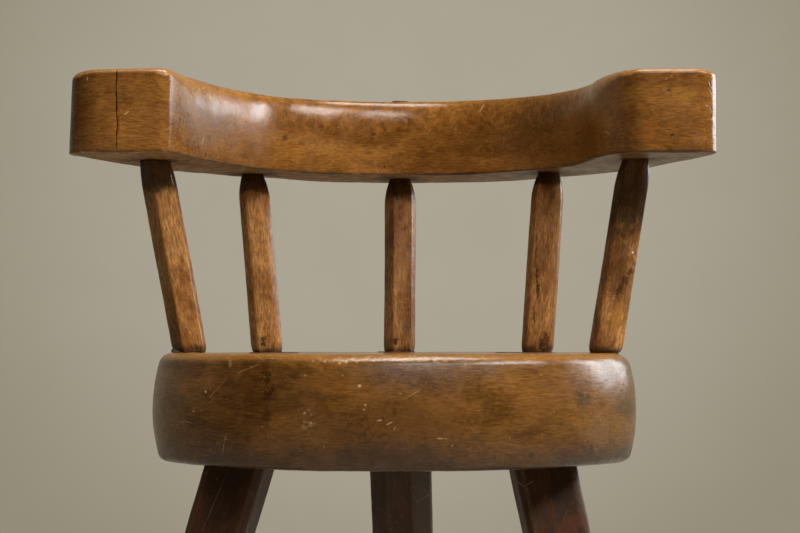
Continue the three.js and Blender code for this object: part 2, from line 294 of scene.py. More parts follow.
# Dirt and painted shade: a grime mask with cloudy borders, which on the rail also carries a painted shadow
# along its lower edge and painted shade in its crack, and a thin film of dust and old wax elsewhere
dirtAndShade, ins, outs = newGroup(
    "dirtAndShade",
    [("GrimeAndShade", "value", 0.0), ("Place", "vector", (0, 0, 0))],
    [("CakedAndShaded", "value"), ("Film", "value")],
)
clouded = added(dirtAndShade, ins["GrimeAndShade"], aboutZero(dirtAndShade, noise(dirtAndShade, ins["Place"], 90.0, 5.0, 0.62)), 1.3)
film = noise(dirtAndShade, ins["Place"], 16.0, 4.0, 0.6)
giveOut(dirtAndShade, outs, {"CakedAndShaded": stepped(dirtAndShade, clouded, 0.15, 0.95), "Film": stepped(dirtAndShade, film, 0.42, 0.75)})

# Fine scratches: thin cell borders of two stretched patterns, kept only here and there, and pale specks
scratch, ins, outs = newGroup(
    "fineScratches",
    [("Place", "vector", (0, 0, 0)), ("Amount", "value", 0.4)],
    [("Line", "value"), ("Speck", "value")],
)
lines = []
for angle, cell in ((0.5, 26.0), (-0.9, 34.0)):
    turned = turnedRound(scratch, ins["Place"], angle)
    inputs = {"Vector": stretched(scratch, turned, (0.35, 1.0, 1.6)), "Scale": cell}
    edge = put(scratch, "ShaderNodeTexVoronoi", inputs, feature="DISTANCE_TO_EDGE").outputs["Distance"]
    thin = stepped(scratch, edge, 0.006, 0.012, 1.0, 0.0)
    kept = stepped(scratch, noise(scratch, turned, 23.0, 3.0, 0.6), 0.62, 0.7)
    lines.append(maths(scratch, "MULTIPLY", thin, kept))
cells = put(scratch, "ShaderNodeTexVoronoi", {"Vector": ins["Place"], "Scale": 210.0})
dot = stepped(scratch, cells.outputs["Distance"], 0.1, 0.22, 1.0, 0.0)
chosen = put(scratch, "ShaderNodeSeparateColor", {"Color": cells.outputs["Color"]}).outputs[0]
dot = maths(scratch, "MULTIPLY", dot, stepped(scratch, chosen, 0.9, 0.96))
for label, value in {"Line": maths(scratch, "MAXIMUM", *lines), "Speck": dot}.items():
    scratch.links.new(maths(scratch, "MULTIPLY", value, ins["Amount"]), outs[label])

# One mark at a place: a soft-edged oval, turned about the front-to-back line and ragged at its border
mark, ins, outs = newGroup(
    "mark",
    [
        ("Place", "vector", (0, 0, 0)),
        ("Centre", "vector", (0, 0, 0)),
        ("Reach", "vector", (0.01, 0.01, 0.01)),
        ("Turn", "value", 0.0),
        ("Ragged", "value", 0.5),
    ],
    [("Mask", "value")],
)
offset = vectorMaths(mark, "SUBTRACT", ins["Place"], ins["Centre"])["Vector"]
share = vectorMaths(mark, "DIVIDE", turnedRound(mark, offset, ins["Turn"]), ins["Reach"])["Vector"]
frayed = maths(mark, "MULTIPLY", aboutZero(mark, noise(mark, ins["Place"], 260.0, 4.0, 0.6)), ins["Ragged"])
away = added(mark, vectorMaths(mark, "LENGTH", share)["Value"], frayed, 2.4)
mark.links.new(stepped(mark, away, 0.45, 1.05, 1.0, 0.0), outs["Mask"])


def woodMaterial(name, look):
    # stained wood under worn wax: figure and painted shade, then marks, some of them painted highlights and
    # painted shade, then wear and dirt, the dirt on the rail also holding painted shadow, with their colours,
    # sheen and heights
    material = bpy.data.materials.new(name)
    material.use_nodes = True
    tree = material.node_tree
    shader = tree.nodes["Principled BSDF"]
    masks = {}
    for key in ("worn", "grimeAndShade", "gunk", "bare", "shade"):
        masks[key] = put(tree, "ShaderNodeAttribute", attribute_name=key).outputs["Fac"]
    grain = put(tree, "ShaderNodeAttribute", attribute_name="grain").outputs["Vector"]
    place = put(tree, "ShaderNodeTexCoord").outputs["Object"]
    wood = use(tree, figure, {"Grain": grain, "Fibre Length": look["fibre"], "Pores": look["pores"]})
    rubbed = use(tree, wear, {"Worn": masks["worn"], "Grain": grain, "Reach": look["wornReach"]})
    soilAndShade = use(tree, dirtAndShade, {"GrimeAndShade": masks["grimeAndShade"], "Place": place})
    lined = use(tree, scratch, {"Place": place, "Amount": look["scratches"]})

    def layered(colour, layers):
        # one colour over another, as far as each layer's mask and share let it
        for mask, share, code in layers:
            colour = blended(tree, maths(tree, "MULTIPLY", mask, share), colour, tint(code))
        return colour

    colour = blended(tree, wood["Mottle"], tint(look["dark"]), tint(look["light"]))
    # with the stains goes a layer of painted shade: the shade mask in the shade colour darkens faces that the
    # light reaches less
    stainsAndShade = [
        (wood["Streak"], look["streak"], look["streakColour"]),
        (wood["Flame"], look["flame"], look["flameColour"]),
        (masks["bare"], look["bareShare"], look["bareColour"]),
        (masks["shade"], 1.0, look["shadeColour"]),
    ]
    colour = layered(colour, stainsAndShade)
    fibreTone = stepped(tree, wood["Fibre"], 0.0, 1.0, 1 - look["fibreDepth"], 1 + look["fibreDepth"])
    colour = put(tree, "ShaderNodeVectorMath", {0: colour, "Scale": fibreTone}, operation="SCALE").outputs[0]
    colour = layered(colour, [(wood["Pore"], look["poreShare"], look["poreColour"])])
    colour = layered(colour, [(soilAndShade["Film"], look["film"], look["filmColour"])])
    height = maths(tree, "MULTIPLY", wood["Fibre"], look["fibreHeight"])
    height = added(tree, height, wood["Pore"], -look["poreSunk"])
    for spot in look["marks"]:
        centre = [c / 1000 + middle for c, middle in zip(spot["at"], (seatCentre.x, seatCentre.y, 0))]
        inputs = {"Place": place, "Centre": centre, "Reach": [c / 1000 for c in spot["reach"]]}
        inputs |= {"Turn": math.radians(spot["turn"]), "Ragged": spot["ragged"]}
        mask = use(tree, mark, inputs)["Mask"]
        colour = layered(colour, [(mask, spot["strength"], spot["colour"])])
        height = added(tree, height, mask, spot["height"])
    # the caked layer is grime, and on the rail also a painted shadow along the lower edge and painted shade
    # in the crack
    wearAndDirt = [
        (rubbed["Rubbed"], look["wornShare"], look["wornColour"]),
        (rubbed["Fleck"], look["fleckShare"], look["fleckColour"]),
        (lined["Line"], look["lineShare"], look["scratchColour"]),
        (lined["Speck"], look["speckShare"], look["scratchColour"]),
        (soilAndShade["CakedAndShaded"], look["grimeAndShadeShare"], look["grimeAndShadeColour"]),
        (masks["gunk"], look["gunkShare"], look["gunkColour"]),
    ]
    colour = layered(colour, wearAndDirt)
    height = added(tree, height, lined["Line"], -look["lineSunk"])
    height = added(tree, height, noise(tree, place, 700.0, 3.0, 0.55), look["pitHeight"])
    height = added(tree, height, noise(tree, place, 120.0, 3.0, 0.5), look["waveHeight"])
    gloss = maths(tree, "MULTIPLY", wood["Streak"], look["streakDull"])
    for mask, key in ((soilAndShade["Film"], "filmDull"), (soilAndShade["CakedAndShaded"], "grimeAndShadeDull"), (masks["bare"], "bareDull")):
        gloss = added(tree, gloss, mask, look[key])
    gloss = maths(tree, "ADD", gloss, look["roughness"])
    bumped = put(tree, "ShaderNodeBump", {"Height": height, "Distance": 0.001, "Strength": 1.0}).outputs[0]
    giveOut(tree, shader.inputs, {"Base Color": colour, "Roughness": gloss, "Normal": bumped})
    shader.inputs["IOR"].default_value = look["ior"]
    return material


def oval(at, reach, colour, strength, turn=0, ragged=0.4, height=0.0):
    # one mark's settings: its place and half sizes in millimetres, and its turn in degrees
    place = {"at": at, "reach": reach, "turn": turn}
    return place | {"colour": colour, "strength": strength, "ragged": ragged, "height": height}


railLook = {
    "fibre": 7.0,
    "pores": 0.42,
    "dark": "683f12",
    "light": "936027",
    "streak": 0.3,
    "streakColour": "744511",
    "flame": 0.3,
    "flameColour": "ad762e",
    "fibreDepth": 0.27,
    "poreShare": 0.8,
    "poreColour": "33200c",
    "poreSunk": 0.05,
    "film": 0.2,
    "filmColour": "8a5a2c",
    "fibreHeight": 0.035,
    "pitHeight": 0.045,
    "waveHeight": 0.12,
    "streakDull": 0.05,
    "filmDull": 0.12,
    "wornReach": 0.75,
    "wornShare": 0.6,
    "wornColour": "a8702f",
    "fleckShare": 0.75,
    "fleckColour": "dfb084",
    "scratches": 0.6,
    "scratchColour": "c09a64",
    "lineShare": 0.55,
    "lineSunk": 0.06,
    "speckShare": 0.6,
    "grimeAndShadeShare": 0.8,
    "grimeAndShadeColour": "2a1b0c",
    "grimeAndShadeDull": 0.2,
    "gunkShare": 0.9,
    "gunkColour": "8b8474",
    "bareShare": 0.85,
    "bareColour": "c89a5e",
    "bareDull": 0.4,
    # the colour of the painted shade
    "shadeColour": "2e1c0c",
    "roughness": 0.15,
    "ior": 1.5,
    "marks": [
        oval((-209.6, -95, 640.6), (3.2, 6, 0.7), "d8b070", 0.7, 35, 0.3),
        oval((-240.9, -95, 668.7), (1.1, 6, 2.4), "c99764", 0.5, -6, 1.4),
        oval((-197.7, -93, 652), (12, 8, 17), "a8732f", 0.3, 0, 1.6),
        oval((-228, -93, 632), (9, 8, 18), "5c3a14", 0.35, 0, 0.9),
        oval((-158, -20, 625), (0.7, 8, 4.5), "b9ae6c", 0.7, -8, 0.4),
        oval((-161, -30, 624), (0.6, 8, 2.8), "4c3a1c", 0.6, -4, 0.4),
        oval((221, -80, 658.5), (1.8, 5, 1.8), "402509", 0.7, 0, 0.7, -0.15),
        oval((223.5, -80, 622.8), (2.2, 5, 1.6), "3a2008", 0.75, 25, 0.7, -0.15),
        oval((220.4, -80, 627.1), (1.4, 5, 1.0), "3a2008", 0.65, 0, 0.7, -0.1),
        oval((222, -80, 668.5), (2.8, 5, 1.5), "c08a4c", 0.55, 30, 2.4),
        oval((243.4, -78, 621), (8, 8, 5), "a6704a", 0.3, 10, 1.6),
        oval((205, -78, 627), (10, 8, 12), "95561f", 0.4, 0, 1.0),
        oval((232, -78, 655), (12, 8, 9), "b5802e", 0.4, 0, 1.0),
        oval((254.6, -72, 664), (0.9, 14, 3.4), "3b2a1c", 0.8, 22, 0.4, -0.5),
        oval((255.0, -72, 658.5), (0.8, 14, 2.6), "4b3826", 0.7, 24, 0.4, -0.4),
        oval((254.9, -72, 645), (0.8, 14, 2.6), "3b2a1c", 0.7, 26, 0.4, -0.4),
        oval((255.3, -72, 638), (0.7, 14, 2.2), "4b3826", 0.6, 22, 0.4, -0.4),
        oval((251.5, -74, 646.5), (1.6, 12, 1.4), "d9b89c", 0.6, 30, 0.8),
        oval((-100, 95, 639.4), (3.2, 8, 3.0), "4e2a12", 0.7, 0, 0.8),
        oval((-86.5, 107, 634.8), (3.4, 8, 2.2), "553216", 0.45, 0, 1.0),
        oval((-23.5, 137, 646.4), (2.6, 6, 1.4), "3d220b", 0.75, 25, 0.8),
        oval((-24.5, 137, 642), (0.8, 6, 3.4), "5a3817", 0.5, 12, 0.6),
        oval((-14, 138, 616.7), (1.4, 6, 1.2), "301a08", 0.8, 0, 0.8),
        oval((-60, 118, 633), (26, 14, 9), "b07a30", 0.35, 6, 1.3),
        oval((60, 128, 636), (40, 16, 16), "5a3710", 0.3, 0, 1.2),
        oval((112, 98, 640), (30, 40, 20), "4c2c0b", 0.35, 0, 1.2),
        # a painted reflection: a pale greyish patch on the left arm's inside stands for the sheen there
        oval((-150, -20, 645), (38, 75, 36), "84705e", 0.5, 0, 1.0),
        oval((74, 128, 669), (0.45, 12, 5.5), "d0a878", 0.75, -29, 0.3),
    ],
}
seatLook = railLook | {
    "fibre": 8.0,
    "dark": "573613",
    "light": "885b28",
    "streak": 0.28,
    "streakColour": "5e3811",
    "flame": 0.22,
    "flameColour": "95682c",
    "fibreDepth": 0.24,
    "film": 0.3,
    "filmColour": "6b4a26",
    "wornShare": 0.5,
    "wornColour": "a06c30",
    "fleckShare": 0.45,
    "fleckColour": "cfa06a",
    "scratches": 0.8,
    "marks": [
        oval((-89.6, -178, 431), (4.4, 9, 5.6), "28150b", 0.75, 0, 1.4),
        oval((-90.8, -178, 441), (5.0, 9, 6.6), "3a200e", 0.55, 0, 1.3),
        oval((-87.6, -178, 421), (3.3, 9, 8.5), "28150b", 0.7, -8, 1.6),
        oval((-89, -177, 407), (4.0, 10, 13), "38200e", 0.5, 0, 1.7),
        oval((-97, -174, 431), (8, 10, 2.6), "44290f", 0.45, -12, 1.5),
        oval((-82, -180, 424), (7, 10, 3.0), "44290f", 0.4, 20, 1.5),
        oval((22, -197, 404), (62, 20, 27), "8d5e2e", 0.38, 0, 1.2),
        oval((-40, -193, 428), (30, 14, 8), "8a5826", 0.3, 0, 1.4),
        oval((-64, -187, 438), (24, 12, 5), "4a2b10", 0.4, 0, 1.3),
        oval((-110, -165, 424), (20, 14, 4), "57360f", 0.35, 0, 1.3),
        oval((-18.8, -198, 426.4), (1.9, 5, 1.6), "cdaf88", 0.85, 0, 0.25),
        oval((-14.3, -198, 412.4), (1.4, 5, 1.0), "c8a87c", 0.75, 0, 0.3),
        oval((-15.5, -198, 409), (1.0, 5, 0.9), "c8a87c", 0.6, 0, 0.3),
        oval((-59.7, -190, 406.2), (1.1, 5, 1.0), "c4ac86", 0.65, 30, 1.2),
        oval((-57.0, -190, 408.4), (2.0, 5, 0.7), "c4ac86", 0.6, 10, 1.0),
        oval((-54.6, -190, 404.9), (0.8, 5, 1.5), "c4ac86", 0.55, 20, 1.0),
        oval((-58.6, -190, 398.3), (3.4, 5, 3.0), "a98f66", 0.5, 0, 3.2),
        oval((-55.0, -190, 398.9), (0.9, 5, 0.8), "c4ac86", 0.6, 0, 0.8),
        oval((-3.4, -199, 401.2), (2.8, 5, 0.6), "d4b791", 0.8, 14, 0.3),
        oval((3.4, -199, 398.9), (3.6, 5, 0.6), "cba981", 0.8, 32, 0.3),
        oval((7.2, -199, 395.0), (2.6, 5, 0.6), "b8925f", 0.7, 65, 0.3),
        oval((40.9, -195, 387.6), (3.6, 5, 0.7), "c9a276", 0.8, 0, 0.4),
        oval((7, -198, 407), (2.2, 6, 4.0), "35200f", 0.5, 0, 0.8),
        oval((149.6, -131, 415), (8, 16, 11), "3c2a12", 0.6, 12, 1.2),
        oval((151.4, -129, 397.5), (9, 16, 12), "8d6a2f", 0.38, -18, 2.4),
        oval((109.3, -166, 373.4), (3.0, 8, 3.2), "2c180c", 0.65, 0, 0.8),
        oval((81.6, -181, 372.3), (2.0, 8, 2.2), "2f1b0d", 0.6, 0, 0.8),
        oval((79.5, -182, 413.8), (13, 12, 12), "47300f", 0.45, 0, 1.3),
        oval((-107.3, -168, 437.7), (14, 14, 0.55), "a98650", 0.5, 22, 1.6),
        oval((-133, -150, 420), (17, 22, 0.5), "a5803f", 0.42, 46, 2.2),
        oval((-137, -145, 412), (12, 22, 0.45), "a5803f", 0.35, 40, 2.4),
        oval((-117, -165, 446), (0.6, 10, 3.6), "b08a50", 0.6, -8, 0.8),
        oval((-140, -141, 420.7), (1.3, 6, 1.2), "cdb58c", 0.75, 0, 0.3),
        oval((-150.5, -130, 405.6), (1.5, 6, 1.3), "bfa173", 0.65, 0, 0.5),
        oval((-120, -155, 443), (1.6, 8, 4.5), "a37b4a", 0.6, 6, 0.9),
        oval((-176, -92, 368.9), (3.0, 7, 3.0), "20160c", 0.8, 30, 0.7, -0.4),
        oval((-100.8, -172, 447.9), (5, 8, 1.6), "d9a667", 0.6, 10, 1.4),
        oval((163, -114, 392), (20, 22, 20), "8f6a4a", 0.35, 0, 1.3),
        # painted highlights: the next two pale bands along the front of the upper rim
        oval((22, -196, 446.4), (78, 12, 2.6), "dcbb95", 0.4, 0, 1.3),
        oval((-38, -192, 444.5), (16, 12, 1.8), "e0c09a", 0.45, 0, 2.6),
        # painted shade: the next two marks, a dark patch at the left end, which faces away from the light,
        # and a dark band low on the front
        oval((-172, -95, 408), (22, 40, 34), "3c2b18", 0.35, 0, 1.2),
        oval((20, -196, 376), (90, 20, 9), "3f230f", 0.35, 0, 1.5),
    ],
}
spindleLook = railLook | {
    "fibre": 8.0,
    "pores": 0.6,
    "dark": "875527",
    "light": "cb9153",
    "streak": 0.28,
    "streakColour": "7c4c1e",
    "flame": 0.35,
    "flameColour": "cf9a5c",
    "fibreDepth": 0.33,
    "wornReach": 0.35,
    "wornShare": 0.35,
    "fleckShare": 0.35,
    "grimeAndShadeColour": "140b05",
    "grimeAndShadeShare": 0.8,
    "grimeAndShadeDull": -0.02,
    "roughness": 0.2,
    "marks": [
        oval((-194.5, 0, 580.4), (0.8, 30, 5.0), "170d06", 0.85, 4, 0.5),
        oval((-197.5, 0, 561), (0.8, 30, 2.5), "2a170a", 0.6, 4, 0.5),
        oval((-120.6, 112, 459.5), (3.6, 30, 7.0), "1a1009", 0.8, 0, 1.9),
        oval((-112, 112, 456), (2.0, 30, 3.0), "1e120a", 0.4, 0, 1.6),
        oval((-5.2, 160, 459.9), (3.0, 25, 4.0), "140d08", 0.85, 0, 1.2),
        oval((5.2, 160, 474.5), (4.5, 25, 10), "6e5c50", 0.5, 0, 0.9),
        # a painted glint: a pale spot high on the back stick
        oval((-2.4, 160, 592), (1.3, 25, 3.6), "cfc4bb", 0.75, -16, 0.5),
        oval((121.5, 112, 545), (1.1, 30, 22), "2a1606", 0.6, -2, 1.6),
        oval((122.5, 112, 512), (1.6, 30, 16), "221205", 0.7, 2, 1.6),
        oval((119.5, 112, 486), (1.2, 30, 10), "2a1606", 0.6, 2, 1.4),
        oval((128, 112, 459), (4.6, 30, 12), "1c1007", 0.75, -6, 1.0),
        oval((186, -8, 520), (20, 30, 62), "56371e", 0.6, 9, 0.6),
        oval((190.5, -13, 509.7), (3.6, 30, 18), "38200f", 0.65, -29, 0.9),
        oval((183.8, -13, 480), (4.6, 30, 17), "c98a3e", 0.6, -16, 1.0),
        oval((1.5, 160, 535), (9, 25, 62), "c79363", 0.35, 0, 1.0),
        oval((-2, 190, 681.5), (13, 14, 4.5), "33261b", 0.75, 0, 1.2),
        oval((196.9, -13, 532.6), (1.1, 30, 1.3), "f1ede6", 0.9, 0, 0.2),
    ],
}
legLook = railLook | {
    "fibre": 26.0,
    "pores": 0.45,
    "dark": "2c1704",
    "light": "48270a",
    "streakColour": "1f0f03",
    "flame": 0.15,
    "flameColour": "5c3518",
    "wornColour": "5f4937",
    "wornShare": 0.42,
    "fleckColour": "9c8876",
    "fleckShare": 0.5,
    "scratchColour": "84705a",
    "grimeAndShadeColour": "140c06",
    "film": 0.08,
    "roughness": 0.4,
    "ior": 1.4,
    "marks": [
        oval((-137.5, -95, 333.6), (0.7, 60, 33), "6b5a46", 0.5, -22.5, 1.0),
        oval((-130.9, -92, 343.8), (0.9, 60, 5.0), "070402", 0.85, 8, 0.4),
        oval((101.9, -92, 348.2), (0.5, 60, 4.6), "a08a76", 0.6, 52, 0.5),
        oval((108.8, -92, 348.6), (0.5, 60, 4.6), "a08a76", 0.6, -60, 0.5),
        oval((141.8, -100, 318), (11, 60, 16), "6a3414", 0.5, -20, 1.0),
        oval((-150, -100, 322), (9, 60, 22), "4e2414", 0.4, 18, 1.0),
    ],
}
wedgeLook = railLook | {
    "fibre": 5.0,
    "dark": "5d4322",
    "light": "7d5f34",
    "streakColour": "4c3419",
    "roughness": 0.45,
    "marks": [],
}

railWood = woodMaterial("railWood", railLook)
seatWood = woodMaterial("seatWood", seatLook)
spindleWood = woodMaterial("spindleWood", spindleLook)
legWood = woodMaterial("legWood", legLook)
wedgeWood = woodMaterial("wedgeWood", wedgeLook)
print("materials made")

# sticks: where each one stands, shared by the pieces it meets

spindleShape = {
    "width": 27.5,
    "chamfer": 15,
    "footLength": 9,
    "neckLength": 24,
    "inset": 27,
    "aside": 1.7,
    "socket": 45,
    "footTenon": 19,
    "topTenon": 16,
    "crisp": 26,
}
# foot and top are bearings from the back towards the right, and into is how far the top stands outside the
# rail's inner arc. Soot reaches down from the rail and up from the seat. The bead of old glue is at the foot
spindleKeys = ("name", "foot", "top", "into", "footWidth", "neckWidth", "turn", "sootTop", "sootFoot", "bead")
spindleRows = [
    ("outer_left", -90, -88.3, 55, 22.5, 24.0, 0, 40, 12, 3.0),
    ("inner_left", -44, -44.7, 46.8, 24.0, 18.5, 7, 24, 9, 0.5),
    ("back", -1.3, -2.8, 50.2, 24.5, 18.0, 0, 27, 9, 0.5),
    ("inner_right", 44.4, 41.5, 36.6, 24.5, 18.5, -8, 17, 12, 0.45),
    ("outer_right", 90, 88.2, 39.1, 22.5, 21.0, -4, 92, 10, 0.6),
]
spindles = [dict(zip(spindleKeys, row)) for row in spindleRows]
# two sticks were shaved unevenly: their facets' directions from the right and distances from the middle
spindleCuts = {
    "outer_left": [(298, 13.1), (352, 13.8), (35, 14.2), (88, 13.6), (140, 14.2), (182, 13.6), (226, 12.8)],
    "back": [(289, 13.2), (344, 14.0), (30, 14.3), (88, 13.6), (140, 14.3), (180, 13.6), (221, 13.3)],
}
tenonEase = 0.97
legShape = {"taper": 5, "inset": 58.5, "tenon": 34, "crisp": 44}
# at is a bearing and lean another, from the back towards the right, and splay is in degrees from upright
legKeys = ("name", "width", "at", "lean", "splay", "turn", "flat")
legRows = [
    ("front_left", 47.8, -122.5, -117, 17.7, -5, 0.81),
    ("front_right", 49.3, 122.5, 123, 13.8, 4, 0.81),
    ("back", 55.5, 0, 5, 16, 0, 0.42),
]
legs = [dict(zip(legKeys, row)) for row in legRows]
railShape = {
    "thickness": 67,
    "arcCentre": (8, -13),
    "radius": 153,
    "backDepth": 89.5,
    "shoulderDepth": 70,
    "shoulderBearing": 54,
    "left": {
        "side": -1,
        "front": 95,
        "flareBearing": 65,
        "flareRun": 60,
        "innerReach": 31,
        "cornerRun": 9,
        "tipReach": 111.8,
        "flankBearing": 78,
        "flankDepth": 86,
        "splay": 2.4,
        "tipRound": 25,
        "tipTopRound": 8,
        "tipTopAcross": 11.5,
    },
    "right": {
        "side": 1,
        "front": 80.5,
        "flareBearing": 84,
        "flareRun": 38,
        "innerReach": 26.5,
        "cornerRun": 15,
        "tipReach": 99.6,
        "flankBearing": 80,
        "flankDepth": 80,
        "splay": 0.2,
        "tipRound": 23,
        "tipTopRound": 4.5,
        "tipTopAcross": 9,
    },
    "tipRun": 15,
    "flankRun": 45,
    "topRound": 9,
    "innerTopRound": 28,
    "cornerRound": 6.5,
    "faceRound": 4.0,
    "bottomRound": 1.4,
    "backSag": 0.3,
    "armLift": 1.2,
    "crack": {"fromTip": 39.2, "width": 0.7, "depth": 4, "back": 13, "fromBottom": 1},
}
seatShape = {
    "radius": 200,
    "swell": 4.6,
    "widest": 47,
    "thickness": 87,
    "topRound": 11.5,
    "shoulderRound": 5,
    "shoulderBearing": 78,
    "shoulderReach": 34,
    "bottomRound": 6,
}


def atBearing(bearing, radius, centre=(0, 0)):
    # points at bearings in degrees from the back towards the right
    a = np.radians(bearing)
    return np.stack([np.sin(a) * radius + centre[0], np.cos(a) * radius + centre[1]], axis=-1)


railArc = np.array(railShape["arcCentre"], float)
railHeight = railBase - seatTop
underside = seatTop - seatShape["thickness"]
spindleRadius = seatShape["radius"] - spindleShape["inset"]
for s in spindles:
    s["footPoint"] = atBearing(s["foot"], spindleRadius, (spindleShape["aside"], 0))
    s["topPoint"] = atBearing(s["top"], railShape["radius"] + s["into"], railArc)
    s["slope"] = (s["topPoint"] - s["footPoint"]) / railHeight
    s["base"] = [*s["footPoint"], seatTop]
for g in legs:
    g["head"] = atBearing(g["at"], seatShape["radius"] - legShape["inset"])
    g["slope"] = -atBearing(g["lean"], math.tan(math.radians(g["splay"])))
    g["base"] = [*g["head"], underside]

# seat

around = allRound(560)


def seatSurface(shape):
    # a turned slab: its half section goes out along the bottom, round a rim, up a side that swells as the
    # square of the distance from its widest line, round the upper rim and back in along the top. Each rim is
    # part of a circle that starts where the side leans the same way
    thick, low, wide = shape["thickness"], shape["bottomRound"], shape["widest"]
    flatRings, rimRings, sideRings, crowding = 26, 14, 48, 1.7
    leanStep, leanPlace = 0.5, 0.8
    bearing = np.degrees(np.arctan2(np.cos(around), np.sin(around)))
    shoulder = bump(bearing, shape["shoulderBearing"], shape["shoulderReach"])
    rim = shape["topRound"] + shape["shoulderRound"] * shoulder

    def swelled(depth):
        span = np.where(depth < wide, wide - shape["topRound"], thick - low - wide)
        return shape["radius"] - shape["swell"] * np.abs((depth - wide) / span) ** 2

    def lean(depth):
        ahead = swelled(depth + leanStep * np.sign(wide - depth))
        return np.arctan((ahead - swelled(depth)) / leanStep)

    topLean, lowLean = lean(rim * leanPlace), lean(np.array(thick - low * leanPlace))
    topStart, lowStart = rim * (1 - np.sin(topLean)), thick - low * (1 - np.sin(lowLean))
    topMiddle = swelled(topStart) - rim * np.cos(topLean)
    lowMiddle = swelled(lowStart) - low * np.cos(lowLean)
    inward = 1 - np.linspace(0, 1, flatRings)[1:] ** crowding
    flat = np.ones_like(around)
    rise = np.linspace(0, 1, rimRings)[:, None]
    lowTurn = np.pi / 2 + (lowLean - np.pi / 2) * rise * flat
    topTurn = topLean + (np.pi / 2 - topLean) * rise
    share = np.linspace(0, 1, sideRings)[1:-1, None]
    sideDeep = lowStart + (topStart - lowStart) * share
    bottom = inward[::-1][1::2, None] * lowMiddle * flat
    top = inward[:-1, None] * topMiddle
    lowRim, topRim = lowMiddle + low * np.cos(lowTurn), topMiddle + rim * np.cos(topTurn)
    radius = np.concatenate([bottom, lowRim, swelled(sideDeep), topRim, top])
    lowDeep, topDeep = thick - low + low * np.sin(lowTurn), rim - rim * np.sin(topTurn)
    deep = np.concatenate([thick + 0 * bottom, lowDeep, sideDeep, topDeep, 0 * top])
    return np.stack([radius * np.cos(around), radius * np.sin(around), seatTop - deep], axis=-1), deep, radius


points, deep, radius = seatSurface(seatShape)
uneven = handmade(points, [(0.55, 130, 3), (0.16, 34, 4), (0.05, 11, 5)])
# the top was planed flatter than the side
onTop = rising(points[..., 2], seatTop - 3, seatTop) * rising(radius, 190, 180)
planed = 0.6
points = points + tubeNormals(points) * (uneven * (1 - planed * onTop))[..., None]
upper, lower = points[..., 2] > seatTop - 2, points[..., 2] < underside + 2
# dirt lies round the spindles' feet, the leg tenons and the legs' heads, and low on the side
spindleReach, legReach = 12, 24
byFeet = near(gapTo(points, [s["footPoint"] for s in spindles], spindleReach), 5)
tenons = [g["head"] + g["slope"] * seatShape["thickness"] for g in legs]
byTenons = near(np.abs(gapTo(points, tenons, legShape["tenon"] / 2)), 2)
byLegs = near(gapTo(points, [g["head"] for g in legs], legReach), 8)
seatDirtAndShade = {"feet": 0.75, "tenons": 0.5, "lowSide": 0.5, "legs": 0.4, "underPole": 0.3, "lowShade": 0.62}
grimeAndShade = upper * (seatDirtAndShade["feet"] * byFeet + seatDirtAndShade["tenons"] * byTenons)
grimeAndShade = grimeAndShade + seatDirtAndShade["lowSide"] * rising(deep, 58, 86) + seatDirtAndShade["legs"] * lower * byLegs
worn = bump(deep, 1.5, 3.2) * rising(radius, 170, 185)
# painted shade: the side is darker from just below its widest line, where it faces down, to the bottom
shade = seatDirtAndShade["lowShade"] * rising(deep, 50, 90) * (deep < seatShape["thickness"] - 0.01)
rows, columns = deep.shape
flatPoints = np.concatenate([points.reshape(-1, 3), [[0, 0, underside], [0, 0, seatTop]]])
seatMasks = {
    "worn": np.append(worn.ravel(), [0, 0]),
    "grimeAndShade": np.append(grimeAndShade.ravel(), [seatDirtAndShade["underPole"], 0]),
    "shade": np.append(shade.ravel(), [0, 0]),
}
seatFaces = closedFaces(rows, columns)
grains = [(flatPoints + [0, 0, 900])[block] for block in seatFaces]
# on the side, from the lower rim to halfway round the upper one, the fibres keep level all the way round
firstLevel, lastLevel, depthKept = 13, 79, 0.09
grains[0][firstLevel * columns : lastLevel * columns, :, 1] *= depthKept
seatPart = (flatPoints, list(zip(seatFaces, grains)), seatMasks)
makePiece("seat_slab", [seatPart], seatWood, "seat")
print("seat made:", len(flatPoints), "points")

# crest rail


def bend(count, *controls):
    # a Bezier curve: neighbouring control points are blended again and again until one point is left
    t = np.linspace(0, 1, count)[:, None]
    row = [np.asarray(c, float) + 0 * t for c in controls]
    while len(row) > 1:
        row = [a + (b - a) * t for a, b in zip(row, row[1:])]
    return row[0]


def outsideOfRail(bearing, shape):
    # the inside's arc plus the depth there: a cosine squared at the back, then a square towards the arm
    away = np.abs(bearing)
    flank = np.where(bearing < 0, shape["left"]["flankBearing"], shape["right"]["flankBearing"])
    flankDepth = np.where(bearing < 0, shape["left"]["flankDepth"], shape["right"]["flankDepth"])
    least, turnAt = shape["shoulderDepth"], shape["shoulderBearing"]
    back = least + (shape["backDepth"] - least) * np.cos(np.minimum(away / turnAt, 1) * np.pi / 2) ** 2
    arm = least + (flankDepth - least) * (np.maximum(away - turnAt, 0) / (flank - turnAt)) ** 2
    return atBearing(bearing, shape["radius"] + np.where(away < turnAt, back, arm), railArc)


